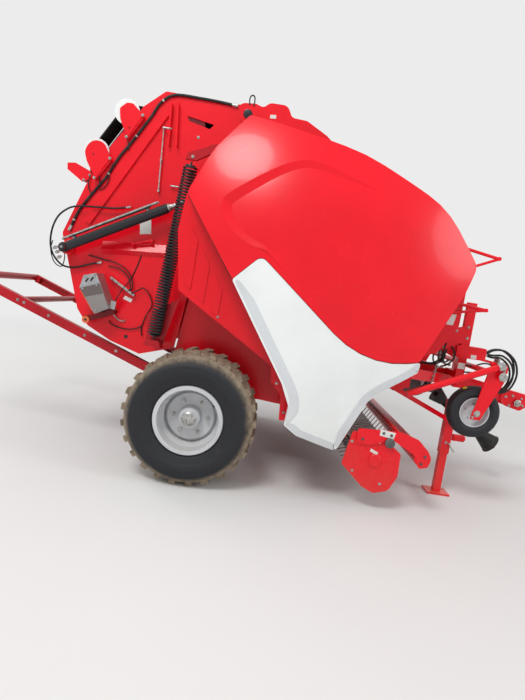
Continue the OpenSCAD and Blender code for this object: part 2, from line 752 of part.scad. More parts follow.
module deflector() {
    y = gate_out + 0.3;
    at_axle() color(red) union() {
        both_sides() slab(y, y + 6) polygon([
            [-1005, 2035], [-1085, 1990], [-1205, 2065], [-1210, 2112], [-1150, 2120],
            [-1035, 2075]
        ]);
        slab(-y - 6, y + 6) polygon([
            [-1205, 2070], [-1100, 2005], [-1095, 2010], [-1203, 2078], [-1150, 2112],
            [-1152, 2118], [-1208, 2100]
        ]);
    }
}
module lamp_boxes() {
    at_axle() color(steel) both_sides() union() {
        slab(gate_out + 0.3, gate_out + 170)
            polygon([[-960, 1220], [-940, 1310], [-850, 1340], [-730, 1100], [-830, 1045]]);
    }
}

// Lenses on the lamp boxes' rear faces, and round reflectors on a holder below
module lamps() {
    at_axle() color("#d2461e") both_sides() union() {
        slab(gate_out + 20, gate_out + 150)
            polygon([[-947.3, 1202.3], [-849.8, 1070.8], [-860.7, 1062.7], [-958.2, 1194.2]]);
    }
    at_axle() color("#d2461e") both_sides() {
        rod_y([-915, 985], 27, gate_out + 86, gate_out + 98);
        slab(gate_out + 0.3, gate_out + 86.5) translate([-915, 985]) square([30, 12], center = true);
    }
}

// Tension springs with their levers
spring_top = [-255, 2200];
spring_foot = [-362, 930];
spring_len = norm(spring_top - spring_foot);
spring_n = floor((spring_len - 70) / spring_pitch);
spring_start = (spring_len - spring_n * spring_pitch) / 2;
module springs() {
    r = (spring_d - spring_wire) / 2;
    at_axle() color(black) both_sides()
        aim_z([spring_foot[0], spring_y, spring_foot[1]], [spring_top[0], spring_y, spring_top[1]])
            rotate_extrude() union() {
                translate([r - 3, spring_start]) square([6, spring_n * spring_pitch]);
                for (i = [0:spring_n])
                    translate([r, spring_start + i * spring_pitch])
                        circle(r = spring_wire / 2, $fn = 16);
                for (v = [spring_start - 4, spring_len - spring_start - 4])
                    translate([0, v]) square([r, 8]);
                translate([0, -4.2]) square([9, spring_start + 4.2]);
                translate([0, spring_len - spring_start]) square([9, spring_start + 9.1]);
            }
}
module spring_levers() {
    at_axle() color(dark_red) both_sides() union() {
        slab(gate_out + 0.3, spring_y) translate([-125, 2310]) circle(r = 24);
        slab(spring_y - 20, spring_y + 12) polygon([
            [-300, 2210], [-288, 2255], [-240, 2275], [-95, 2340], [-90, 2290], [-225, 2210]
        ]);
        slab(spring_y - 62, spring_y + 30)
            polygon([[-430, 885], [-300, 875], [-320, 925], [-410, 925]]);
        slab(spring_y - 62, spring_y - 54)
            polygon([[-222, 1244], [-306, 892], [-431, 902], [-442, 1103]]);
        slab(gate_out + 0.3, spring_y) translate([-370, 905]) square([80, 20], center = true);
    }
}
gate_hose_y = gate_out + 10.4;
gate_hose_route = [for (p = [
    [-20, 2688], [-150, 2697], [-300, 2702], [-480, 2698], [-575, 2630], [-632, 2525],
    [-694, 2420], [-746, 2335], [-834, 2200], [-913, 2045], [-1010, 1900], [-1088, 1770],
    [-1140, 1625]
]) [p[0], gate_hose_y, p[1]]];
module tailgate_hoses() {
    at_axle() color(black) both_sides() hose(gate_hose_route, 10);
}

// Tailgate cylinders
barrel_len = 735;
module cylinder_barrel() {
    a = [cylinder_butt[0], cylinder_y, cylinder_butt[1]];
    b = [cylinder_eye[0], cylinder_y, cylinder_eye[1]];
    at_axle() color(black) difference() {
        union() {
            aim_z(a, b) translate([0, 0, 30]) cylinder(r = barrel_d / 2, h = barrel_len - 30);
            rod_y(cylinder_butt, 36, cylinder_y - 20, cylinder_y + 20);
            aim_z(a, b) translate([-barrel_d / 2 - 22, 0, 60]) cylinder(r = 8, h = barrel_len - 90);
            for (v = [90, barrel_len - 70])
                aim_z(a, b) translate([-barrel_d / 2 - 26, -9, v]) cube([30, 18, 24]);
        }
        rod_y(cylinder_butt, 18 + run_fit, cylinder_y - 21, cylinder_y + 21);
        aim_z(a, b) translate([0, 0, 60]) cylinder(r = rod_d / 2 + run_fit, h = barrel_len);
    }
}
module cylinder_rod() {
    a = [cylinder_butt[0], cylinder_y, cylinder_butt[1]];
    b = [cylinder_eye[0], cylinder_y, cylinder_eye[1]];
    l = norm(b - a);
    at_axle() color(steel) union() {
        aim_z(a, b) translate([0, 0, 75]) cylinder(r = rod_d / 2, h = l - 95);
        rod_y(cylinder_eye, 34, cylinder_y - 20, cylinder_y + 20);
    }
}
module cylinder_barrel_right() { on_side(-1) cylinder_barrel(); }
module cylinder_barrel_left() { on_side(1) cylinder_barrel(); }
module cylinder_rod_right() { on_side(-1) cylinder_rod(); }
module cylinder_rod_left() { on_side(1) cylinder_rod(); }

// Main wheels

bead_r = rim_d / 2 - 22;
flange_y = rim_w / 2;
// Half section of the tyre's outside: [radius, distance from the centre plane, corner]
function tyre_side(r, s) = [
    [bead_r, s * (flange_y - 15), 0], [rim_d / 2 + 1, s * (flange_y - 15), 0],
    [rim_d / 2 + 10, s * (flange_y + 8), 12], [bead_r + 110, s * tyre_w / 2, 80],
    [r - 66, s * (tyre_w / 2 - 4), 40], [r - 12, s * (tyre_w / 2 - 66), 50]
];
function turned_round(t) = [for (i = [len(t) - 1:-1:0]) t[i]];
module tyre() {
    r = tyre_d / 2 - lug_h;
    at_axle() color(black) translate([0, wheel_y, axle_z]) rotate([-90, 0, 0]) union() {
        rotate_extrude($fn = 96)
            polygon(rounded(concat(tyre_side(r, -1), [[r + 4, 0, 0]],
                turned_round(tyre_side(r, 1)))));
        intersection() {
            cylinder(r = tyre_d / 2, h = tyre_w, center = true, $fn = 96);
            for (i = [0:lug_n - 1], s = [-1, 1]) lug(i, s, r);
        }
    }
}
// One tread lug, from the shoulder to just past the middle
module lug(i, s, r) {
    turn = (i + (s > 0 ? 0.5 : 0)) * 360 / lug_n;
    pitch = 2 * PI * r / lug_n;
    rotate([0, 0, turn]) translate([r - 20, 0, 0]) rotate([0, 90, 0])
        linear_extrude(24 + lug_h) polygon([
            [-s * 10, -pitch * 0.18], [-s * 10, pitch * 0.22],
            [-s * (tyre_w / 2 - 72), pitch * 0.42], [-s * (tyre_w / 2 - 72), pitch * 0.02]
        ]);
}
// Section of the rim: an outer flange, a well, a second flange and the sunk disc
disc_y = 60;
module rim() {
    at_axle() color(steel) translate([0, wheel_y, axle_z]) rotate([-90, 0, 0]) union() {
        difference() {
            rim_turned();
            for (i = [0:7]) rotate([0, 0, i * 45 + 22.5])
                translate([190, 0, disc_y - 60]) cylinder(r = 10, h = 80);
        }
        for (i = [0:stud_n - 1]) rotate([0, 0, i * 360 / stud_n])
            translate([120, 0, disc_y + 5]) cylinder(r = 12, h = 21, $fn = 6);
    }
}
module rim_turned() {
    rotate_extrude($fn = 96) polygon([
        [spindle_r + run_fit, disc_y - 80], [spindle_r + 38, disc_y - 80],
        [spindle_r + 38, disc_y - 6], [160, disc_y - 6], [182, disc_y - 30],
        [bead_r - 34, disc_y - 30], [bead_r - 34, -80], [bead_r - 9, -110],
        [bead_r - 9, -flange_y + 1], [rim_d / 2 - 4.5, -flange_y + 1],
        [rim_d / 2, -flange_y + 8], [rim_d / 2, -flange_y + 12],
        [rim_d / 2 - 4.5, -flange_y + 14.5], [bead_r - 0.5, -flange_y + 14.5],
        [bead_r - 0.5, -108], [bead_r - 26, -78], [bead_r - 26, 78],
        [bead_r - 0.5, 108], [bead_r - 0.5, flange_y - 14.5],
        [rim_d / 2 - 4.5, flange_y - 14.5], [rim_d / 2, flange_y - 12],
        [rim_d / 2, flange_y - 8], [rim_d / 2 - 4.5, flange_y - 1],
        [bead_r - 9, flange_y - 1], [bead_r - 9, 110], [bead_r - 34, 80],
        [bead_r - 34, disc_y - 20], [184, disc_y - 20], [162, disc_y + 6],
        [80, disc_y + 6], [72, disc_y + 70], [48, disc_y + 92],
        [spindle_r + run_fit, disc_y + 92]
    ]);
}
module tyre_right() { on_side(-1) tyre(); }
module tyre_left() { on_side(1) tyre(); }
module rim_right() { on_side(-1) rim(); }
module rim_left() { on_side(1) rim(); }

// Gauge wheels, stowed beside the drawbar

module gauge_tyre() {
    r = gauge_d / 2;
    w = gauge_w / 2;
    at_axle() color(black) translate([gauge_axis[0], gauge_y, gauge_axis[1]])
        rotate([-90, 0, 0]) rotate_extrude($fn = 64) polygon(rounded([
            [r - 85, -w + 18, 0], [r - 60, -w, 14], [r - 14, -w + 6, 24], [r, 0, 60],
            [r - 14, w - 6, 24], [r - 60, w, 14], [r - 85, w - 18, 0]
        ]));
}
module gauge_rim() {
    r = gauge_d / 2 - 85.3;
    w = gauge_w / 2 - 18;
    at_axle() color(steel) translate([gauge_axis[0], gauge_y, gauge_axis[1]])
        rotate([-90, 0, 0]) rotate_extrude($fn = 64) polygon([
            [15 + run_fit, -30], [28, -30], [28, -5], [r - 20, -5], [r - 8, -w],
            [r, -w], [r, w], [r - 8, w], [r - 20, 5], [28, 5], [28, 30], [15 + run_fit, 30]
        ]);
}
module gauge_tyre_right() { on_side(-1) gauge_tyre(); }
module gauge_tyre_left() { on_side(1) gauge_tyre(); }
module gauge_rim_right() { on_side(-1) gauge_rim(); }
module gauge_rim_left() { on_side(1) gauge_rim(); }

// Pickup with its reel and bands

pickup_plate = [
    [1120, 545, 20], [1078, 306, 20], [1240, 165, 60], [1326, 128, 60], [1425, 160, 60],
    [1475, 270, 60], [1470, 430, 30], [1340, 520, 20]
];
reel_r = 85;
reel_shaft_r = 28;
module pickup_frame() {
    at_axle() color(red) union() {
        both_sides() difference() {
            plate(pickup_plate, pickup_y - 8, pickup_y);
            rod_y(reel_axis, reel_shaft_r + run_fit, pickup_y - 9, pickup_y + 1);
            rod_y(press_pivot, 12 + run_fit, pickup_y - 9, pickup_y + 1);
        }
        bar([1061.2, -1040, 490], [1061.2, 1040, 490], 35);
        both_sides() slab(frame_out + 4, frame_out + 24) polygon(rounded([
            [760, 680, 38], [760, 600, 38], [1020, 455, 30], [1085, 450, 30],
            [1085, 525, 30], [840, 680, 38]
        ]));
        both_sides() rod_y(pickup_pivot, 22, frame_in + 0.5, frame_out + 5);
    }
}
band_pitch = 2 * (pickup_y - 40) / band_n;
band_back = 1096;
module pickup_bands() {
    at_axle() color(steel) union() {
        for (i = [0:band_n - 1]) {
            y = -pickup_y + 40 + i * band_pitch;
            slab(y + band_pitch * 0.16, y + band_pitch * 0.84) difference() {
                band_shape(band_r);
                band_shape(band_r - 4);
                translate([0, reel_axis[1] - 200]) square([1220, 200]);
                translate([0, 470]) square([band_back, 100]);
            }
        }
        translate([band_back + 17, -pickup_y + 8.3, 482]) cube([14, 2 * pickup_y - 16.6, 18]);
    }
}
module band_shape(r) {
    translate(reel_axis) union() {
        circle(r = r);
        translate([-206, -r]) square([206, 2 * r]);
    }
}
module pickup_reel() {
    at_axle() color(steel) union() {
        rod_y(reel_axis, reel_shaft_r, -pickup_y - 4, pickup_y + 4);
        for (k = [0:tine_bar_n - 1]) tine_bar(k * 360 / tine_bar_n);
        for (y = [-1, -0.33, 0.33, 1])
            rod_y(reel_axis, reel_r + 18, y * (pickup_y - 60) - 4, y * (pickup_y - 60) + 4);
    }
}
module tine_bar(a) {
    p = reel_axis + reel_r * [cos(a), sin(a)];
    rod_y(p, 14, -pickup_y + 50, pickup_y - 50);
    for (i = [1:band_n - 1]) {
        y = -pickup_y + 40 + i * band_pitch;
        rod_y(p, 20, y - 7, y + 7);
        translate([p[0], y, p[1]]) rotate([0, 90 - a + 14, 0])
            cylinder(r = tine_wire / 2, h = tine_reach - reel_r);
    }
}

// Crop press ahead of the reel
module crop_press() {
    at_axle() color(red) union() {
        both_sides() plate([
            [1150, 570, 20], [1150, 465, 20], [1240, 465, 20], [1400, 520, 60], [1560, 440, 30],
            [1600, 350, 20], [1670, 370, 30], [1660, 470, 60], [1570, 550, 60], [1440, 585, 40]
        ], pickup_y + 6, pickup_y + 14);
        bar([1620, -pickup_y - 7, 420], [1620, pickup_y + 7, 420], 57);
        bar([1450, -pickup_y - 7, 555], [1450, pickup_y + 7, 555], 18);
        both_sides() rod_y(press_pivot, 12, pickup_y - 9, pickup_y + 7);
    }
}

// Feed rotor
module feed_rotor() {
    at_axle() color(steel) union() {
        rod_y(rotor_axis, 70, -frame_in + 6, frame_in - 6);
        rod_y(rotor_axis, 30, -frame_out + 0.5, frame_out - 0.5);
        for (i = [0:9]) {
            y = -frame_in + 60 + i * (chamber_w - 120) / 9;
            slab(y - 4, y + 4) translate(rotor_axis) rotate(i * 24)
                for (k = [0:3]) rotate(k * 90)
                    polygon([[40, -50], [180, -10], [188, 8], [178, 20], [40, 60]]);
        }
    }
}

// Raised bale kicker: two legs and cross tubes
kicker_r = 30;
kicker_slope = 19.6;
kicker_y = frame_in - 35;
module kicker() {
    tail = kicker_tail - kicker_r;
    rise = (tail + kicker_pivot[0]) * tan(kicker_slope);
    at_axle() color(dark_red) difference() {
        union() {
            both_sides() beam([kicker_pivot[0] - 20, kicker_y, kicker_pivot[1] + 7],
                [-tail + 20, kicker_y, kicker_pivot[1] + rise - 7], 50, 70);
            bar([-tail, -640, kicker_pivot[1] + rise], [-tail, 640, kicker_pivot[1] + rise], kicker_r);
            bar([-1500, -kicker_y, 1045], [-1500, kicker_y, 1045], 25);
            both_sides() rod_y(kicker_pivot, 48, kicker_y - 25, kicker_y + 28);
        }
        both_sides() rod_y(kicker_pivot, 25 + run_fit, kicker_y - 26, kicker_y + 29);
        both_sides() beam([kicker_pivot[0] - 110, kicker_y - 10, kicker_pivot[1] + 7 + 90 * tan(kicker_slope)],
            [-1440, kicker_y - 10, 1022], 50, 54);
        both_sides() beam([-1560, kicker_y - 10, 1064],
            [-tail + 60, kicker_y - 10, kicker_pivot[1] + rise - 7 - 40 * tan(kicker_slope)], 50, 54);
    }
}

// Power shaft with its guard, hanging from the gearbox
module pto_shaft() {
    a = [pto_joint[0], 0, pto_joint[1]];
    b = [2560, 0, 360];
    at_axle() color(black) difference() {
        union() {
            rod_y(pto_joint, 25, -24, 24);
            aim_z(a, b) cylinder(r = 20, h = 70);
            aim_z(a, b) translate([0, 0, 60]) cylinder(r = 34, h = norm(b - a) - 60);
            aim_z(a, b) translate([0, 0, norm(b - a) - 120]) cylinder(r1 = 45, r2 = 88, h = 150);
            aim_z(a, b) translate([0, 0, 60]) cylinder(r1 = 75, r2 = 45, h = 100);
        }
        rod_y(pto_joint, 12 + run_fit, -25, 25);
    }
}

axle_beam();
side_frames();
crossmembers();
front_rollers();
front_belts();
feed_floor();
side_drives();
gearbox();
drawbar();
hitch_eye();
mast();
hose_bundle();
net_box();
net_lid();
wings();
gauge_arms();
guard_rails();
cylinder_brackets();
feed_rotor();
cover_right();
cover_left();
lower_panel_right();
lower_panel_left();
tailgate_sides();
tailgate_crossmembers();
tailgate_rollers();
tailgate_belts();
tailgate_fittings();
roller_discs();
lamps();
deflector();
lamp_boxes();
springs();
spring_levers();
tailgate_hoses();
cylinder_barrel_right();
cylinder_barrel_left();
cylinder_rod_right();
cylinder_rod_left();
tyre_right();
tyre_left();
rim_right();
rim_left();
pickup_frame();
pickup_bands();
pickup_reel();
crop_press();
gauge_tyre_right();
gauge_tyre_left();
gauge_rim_right();
gauge_rim_left();
jack_leg();
kicker();
pto_shaft();
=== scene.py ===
import math

import bmesh
import bpy
from mathutils import Matrix, Vector


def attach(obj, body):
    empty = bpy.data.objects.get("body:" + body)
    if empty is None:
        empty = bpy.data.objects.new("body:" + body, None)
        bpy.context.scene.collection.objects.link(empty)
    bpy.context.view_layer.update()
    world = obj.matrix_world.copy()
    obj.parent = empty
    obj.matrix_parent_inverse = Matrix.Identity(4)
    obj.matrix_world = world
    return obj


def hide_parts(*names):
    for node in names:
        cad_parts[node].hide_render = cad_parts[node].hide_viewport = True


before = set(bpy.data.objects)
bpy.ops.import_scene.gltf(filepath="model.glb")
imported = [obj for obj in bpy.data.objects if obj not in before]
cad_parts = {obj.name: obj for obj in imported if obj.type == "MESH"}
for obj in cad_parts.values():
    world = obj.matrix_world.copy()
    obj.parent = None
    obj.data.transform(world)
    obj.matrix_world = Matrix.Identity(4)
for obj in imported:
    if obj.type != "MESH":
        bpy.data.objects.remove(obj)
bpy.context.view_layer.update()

# Camera
# The photograph was taken from the machine's right, 3.4 m from its side and 1.37 m up,
# with a wide lens held tilted a little. The part's source puts the axle this far behind
# the middle of the machine.
axle_x = -0.75
eye = Vector((axle_x + 0.426, -4.606, 1.37))
look_down, horizon_tilt = 6.1, 8.6
camera_data = bpy.data.cameras.new("camera")
camera_data.lens = 26.74
camera_data.sensor_width = 36
camera_data.sensor_fit = "AUTO"
camera = bpy.data.objects.new("camera", camera_data)
camera.matrix_world = (
    Matrix.Translation(eye)
    @ Matrix.Rotation(math.radians(90 - look_down), 4, "X")
    @ Matrix.Rotation(math.radians(horizon_tilt), 4, "Z")
)
bpy.context.scene.collection.objects.link(camera)
bpy.context.scene.camera = camera

# Lamps
# One large soft lamp from above and behind the camera and weaker ones from the front and
# the rear stand for a bright sky. The pale sky itself comes at the end, after the floor.
scene = bpy.context.scene
scene.view_settings.view_transform = "Standard"


def area_lamp(name, place, aim, size, power):
    lamp = bpy.data.lights.new(name, "AREA")
    lamp.shape = "DISK"
    lamp.size = size
    lamp.energy = power
    holder = bpy.data.objects.new(name, lamp)
    holder.location = place
    holder.rotation_euler = (Vector(aim) - Vector(place)).to_track_quat("-Z", "Y").to_euler()
    scene.collection.objects.link(holder)


area_lamp("sky_lamp", (-3.0, -6.0, 8.0), (0, 0, 1.2), size=3.0, power=390)
area_lamp("front_lamp", (7.0, -3.0, 4.5), (0.5, 0, 1.0), size=3.5, power=130)
area_lamp("rear_lamp", (-7.5, 3.5, 5.5), (-0.5, 0, 1.2), size=4.0, power=190)

# Red frame, drawbar and covers
# Folded and welded sheet and square tube under gloss red paint, bright on the covers and
# plates. Darker copies of the same red are painted shade: one on the beams between them,
# and a darker one still on parts that lie deep in shade. Field dust lies on it as a tan film
# where the sheet faces up or sits low, broken up by noise and by streaks that run down.


class Field:
    """One output of a shader node. Arithmetic and the methods below add the node that
    works the result out."""

    def __init__(self, tree, socket):
        self.tree = tree
        self.socket = socket

    def node(self, kind, inputs, output=0, **settings):
        """Any other node: inputs maps socket names or numbers to fields or values."""
        made = self.tree.nodes.new(kind)
        for key, value in settings.items():
            setattr(made, key, value)
        for key, value in inputs.items():
            if isinstance(value, Field):
                self.tree.links.new(value.socket, made.inputs[key])
            else:
                made.inputs[key].default_value = value
        return Field(self.tree, made.outputs[output])

    def maths(self, operation, *others):
        return self.node("ShaderNodeMath", dict(enumerate((self, *others))), operation=operation)

    def __add__(self, other):
        return self.maths("ADD", other)

    def __sub__(self, other):
        return self.maths("SUBTRACT", other)

    def __mul__(self, other):
        return self.maths("MULTIPLY", other)

    def __rsub__(self, other):
        return (self * -1) + other

    __radd__, __rmul__ = __add__, __mul__

    def ramp(self, low, high):
        """0 below low and 1 above high, smooth in between, and turned over if low > high."""
        return self.node(
            "ShaderNodeMapRange",
            {"Value": self, "From Min": low, "From Max": high},
            interpolation_type="SMOOTHSTEP",
        )

    def blend(self, below, above):
        """A colour: below where the field is 0, above where it is 1."""
        return self.node(
            "ShaderNodeMix", {0: self, 6: below, 7: above}, output=2, data_type="RGBA"
        )

    def noise(self, scale, detail, roughness=0.55):
        return self.node(
            "ShaderNodeTexNoise",
            {"Vector": self, "Scale": scale, "Detail": detail, "Roughness": roughness},
        )

    def cells(self, scale, output=0):
        return self.node("ShaderNodeTexVoronoi", {"Vector": self, "Scale": scale}, output=output)

    def stretched(self, x, y, z):
        return self.node("ShaderNodeMapping", {"Vector": self, "Scale": (x, y, z)})

    def part(self, axis):
        return self.node("ShaderNodeSeparateXYZ", {"Vector": self}, output="XYZ".index(axis))


class Surface:
    """A material whose shader sockets are written by name, with fields or plain values."""

    def __init__(self, name, **sockets):
        self.material = bpy.data.materials.new(name)
        self.material.use_nodes = True
        self.tree = self.material.node_tree
        self.shader = self.tree.nodes["Principled BSDF"]
        start = self.tree.nodes.new("ShaderNodeTexCoord")
        self.place = Field(self.tree, start.outputs["Object"])
        shape = self.tree.nodes.new("ShaderNodeNewGeometry")
        self.facing = Field(self.tree, shape.outputs["Normal"])
        self.set(**sockets)

    def set(self, **sockets):
        for key, value in sockets.items():
            socket = self.shader.inputs[key.replace("_", " ")]
            if isinstance(value, Field):
                self.tree.links.new(value.socket, socket)
            else:
                socket.default_value = value

    def bump(self, height, strength, distance):
        made = height.node(
            "ShaderNodeBump", {"Height": height, "Strength": strength, "Distance": distance}
        )
        self.tree.links.new(made.socket, self.shader.inputs["Normal"])


def tone(red, green, blue):
    """A colour given as the 0-255 values that it should show in the render."""
    def linear(v):
        v = v / 255
        return v / 12.92 if v <= 0.04045 else ((v + 0.055) / 1.055) ** 2.4
    return (linear(red), linear(green), linear(blue), 1)


def painted(name, colour, shade, dust, gloss=0.22, low=0.9, shine=0.15):
    """Paint in two close tones. The dust thickens below that low height, in metres."""
    paint = Surface(name, Coat_Roughness=0.08, Specular_IOR_Level=0.25)
    dusty_depth = 0.85
    cloud = paint.place.noise(2.2, 5)
    fine = paint.place.noise(38, 4, 0.65)
    streak = paint.place.stretched(14, 14, 1.3).noise(1.0, 4)
    upward = paint.facing.part("Z").ramp(0.15, 0.95)
    lying_low = paint.place.part("Z").ramp(low, low - dusty_depth)
    film = (upward * 0.5 + lying_low * 0.55 + cloud.ramp(0.45, 0.8) * 0.22) * dust
    film = film * (fine * 0.5 + streak * 0.6 + 0.4)
    film = film.ramp(0.02, 0.95)
    base = cloud.ramp(0.3, 0.75).blend(colour, shade)
    paint.set(
        Base_Color=film.blend(base, dust_tone),
        Roughness=film * 0.55 + fine * 0.08 + gloss,
        Coat_Weight=(1 - film) * shine,
    )
    paint.bump(fine + cloud * 0.6, 0.04, 0.004)
    return paint.material


def finish(material, names):
    """Gives a material to CAD nodes whose shape stays as it is."""
    for name in names.split():
        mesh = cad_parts[name].data
        mesh.materials.clear()
        mesh.materials.append(material)


dust_tone = tone(176, 152, 122)
red = painted("red_paint", tone(238, 13, 34), tone(226, 10, 30), dust=0.3)
# The beams' darker red is painted shade, with more dust; the darkest red paints deeper shade.
beam_shade_red = painted("beam_shade_red_paint", tone(186, 12, 30), tone(166, 9, 25), dust=0.45, gloss=0.3)
shade_red = painted("shaded_red_paint", tone(122, 8, 20), tone(98, 6, 16), dust=0.75,
                    gloss=0.36, low=1.1)
finish(red, "side_frames drawbar mast net_lid wings gauge_arms guard_rails cylinder_brackets "
            "cover_right cover_left tailgate_sides tailgate_fittings deflector pickup_frame "
            "crop_press jack_leg")
finish(beam_shade_red, "axle_beam crossmembers kicker tailgate_crossmembers spring_levers net_box")
# The feed floor, deep under the machine, takes the darkest red as painted shade.
finish(shade_red, "feed_floor")

# White lower panels and roller discs
# The panels that hang below the covers and the tongued discs beside the tailgate's upper
# rollers are sheet and plate in gloss white, and the dust reaches them less.
white = painted("white_paint", tone(236, 240, 239), tone(226, 230, 229), dust=0.25, gloss=0.2,
                low=1.1)
finish(white, "lower_panel_right lower_panel_left roller_discs")

# Rollers, chains, rotor and gearbox
# Rollers, chains, the rotor and the reel's tines are bare steel, worn bright in scratches
# and blooming with rust. The gearbox is a casting.


def bare_metal(name, colour, rust, rust_amount, rough):
    metal = Surface(name)
    bloom = metal.place.noise(7, 6, 0.7).ramp(0.62 - rust_amount * 0.25, 0.82 - rust_amount * 0.2)
    scratch = metal.place.stretched(3, 160, 3).noise(1.0, 2)
    grain = metal.place.noise(60, 3)
    plain = grain.ramp(0.3, 0.8).blend(colour, tone(120, 118, 114))
    metal.set(
        Base_Color=bloom.blend(plain, rust),
        Metallic=(1 - bloom) * 0.85,
        Roughness=bloom * 0.35 + scratch * 0.14 + rough,
    )
    metal.bump(bloom * 0.6 + grain * 0.3 + scratch * 0.2, 0.12, 0.002)
    return metal.material


steel = bare_metal("worn_steel", tone(150, 148, 144), tone(112, 74, 48), 0.55, 0.32)
cast = bare_metal("cast_metal", tone(92, 92, 93), tone(96, 70, 52), 0.35, 0.45)
finish(steel, "front_rollers side_drives hitch_eye feed_rotor tailgate_rollers pickup_reel")
finish(cast, "gearbox")

# Belts
# Wide endless belts of woven rubber run round the rollers. They have fine ribs along
# their length and a pale bloom of dust and hay.


def rubbery(name, dark, pale, rough, ribs=0):
    rubber = Surface(name, Specular_IOR_Level=0.3)
    bloom = rubber.place.noise(12, 5, 0.6)
    fine = rubber.place.noise(90, 2)
    rubber.set(
        Base_Color=bloom.ramp(0.4, 0.85).blend(dark, pale),
        Roughness=fine * 0.15 + rough,
    )
    rubber.bump(fine + (rubber.place.part("Y") * ribs).maths("SINE") * 0.5, 0.2, 0.002)
    return rubber.material


belt_rubber = rubbery("belt_rubber", tone(44, 43, 42), tone(70, 66, 61), 0.62, ribs=900)
finish(belt_rubber, "front_belts tailgate_belts")

# Tension springs
# A long coil spring of wire in satin black stands beside each tailgate plate, hooked to
# the levers at both ends. The source has stacked rings; here it is the wound wire itself.
satin_black = painted("satin_black_paint", tone(42, 42, 47), tone(31, 31, 35), dust=0.3, gloss=0.3)
sides = {"right": -1, "left": 1}
gate_face = 647


def at(x, y, z):
    """A place in millimetres from the axle, as in the part's source: ahead, left, up."""
    return Vector((axle_x + x / 1000, y / 1000, z / 1000))


def on_gate(s, x, out, z):
    """A place that far out from the tailgate's plate, on the side whose sign is s."""
    return at(x, s * (gate_face + out), z)


def once(side, node):
    """The CAD node that a pair of pieces stands for, which the right one names for both."""
    return [node] if side == "right" else []


def on_circle(centre, radius, side, other, k, count):
    """The k-th of count points round a circle, whose radii lie along side and other."""
    turn = math.tau * k / count
    return centre + radius / 1000 * (math.cos(turn) * side + math.sin(turn) * other)


class Shape:
    """A mesh in the making. Radii, profiles and outlines are in millimetres."""

    def __init__(self):
        self.mesh = bmesh.new()

    def rings(self, rings):
        """Joins rings of points into a skin and closes both ends."""
        made = [[self.mesh.verts.new(p) for p in ring] for ring in rings]
        count = len(made[0])
        for a, b in zip(made, made[1:]):
            for k in range(count):
                self.mesh.faces.new((a[k], a[(k + 1) % count], b[(k + 1) % count], b[k]))
        self.mesh.faces.new(made[0][::-1])
        self.mesh.faces.new(made[-1])

    def tube(self, path, radius, sides):
        """A round bar, pipe or hose along the path."""
        side = None
        rings = []
        for i, point in enumerate(path):
            along = (path[min(i + 1, len(path) - 1)] - path[max(i - 1, 0)]).normalized()
            if side is None:
                side = along.orthogonal().normalized()
            side = (side - along * side.dot(along)).normalized()
            other = along.cross(side)
            rings.append([on_circle(point, radius, side, other, k, sides) for k in range(sides)])
        self.rings(rings)

    def turned(self, foot, axis, profile, sides):
        """A form turned about axis: profile rows are (distance along, radius)."""
        axis = Vector(axis).normalized()
        side = axis.orthogonal().normalized()
        other = axis.cross(side)
        self.rings([
            [on_circle(foot + axis * (along / 1000), radius, side, other, k, sides)
             for k in range(sides)]
            for along, radius in profile
        ])

    def bolt(self, foot, axis, size):
        """A washer, a hexagon head with its chamfer, and the screw's end."""
        for sides, rows in ((16, [(0, 1.25), (0.2, 1.25)]),
                            (6, [(0.2, 1), (0.75, 1), (0.95, 0.8)]),
                            (10, [(0.9, 0.45), (1.15, 0.4)])):
            self.turned(foot, axis, [(size * along, size * wide) for along, wide in rows], sides)

    def bolts(self, places, y, size):
        """Bolts at places (x, z) on a sheet at y, with their heads away from the middle."""
        for x, z in places:
            self.bolt(at(x, y, z), (0, math.copysign(1, y), 0), size)

    def plate(self, outline, near, far, bevel):
        """A flat piece with softened edges: outline points are (x, z), near and far are
        its two faces' distances to the left."""
        cx = sum(p[0] for p in outline) / len(outline)
        cz = sum(p[1] for p in outline) / len(outline)
        reach = max(math.hypot(p[0] - cx, p[1] - cz) for p in outline)
        small = 1 - bevel / reach
        inward = bevel if near < far else -bevel
        rows = [(near, small), (near + inward, 1), (far - inward, 1), (far, small)]
        self.rings([
            [at(cx + (p[0] - cx) * share, y, cz + (p[1] - cz) * share) for p in outline]
            for y, share in rows
        ])

    def place(self, name, material, body, *stands_for):
        """Makes the object, shades it smooth where it bends softly and lets it ride."""
        sharp_from = 0.6
        bmesh.ops.recalc_face_normals(self.mesh, faces=self.mesh.faces)
        for face in self.mesh.faces:
            face.smooth = True
        for edge in self.mesh.edges:
            edge.smooth = len(edge.link_faces) == 2 and edge.calc_face_angle(4) < sharp_from
        data = bpy.data.meshes.new(name)
        self.mesh.to_mesh(data)
        self.mesh.free()
        data.materials.append(material)
        piece = bpy.data.objects.new(name, data)
        scene.collection.objects.link(piece)
        if stands_for:
            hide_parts(*stands_for)
        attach(piece, body)
        return piece


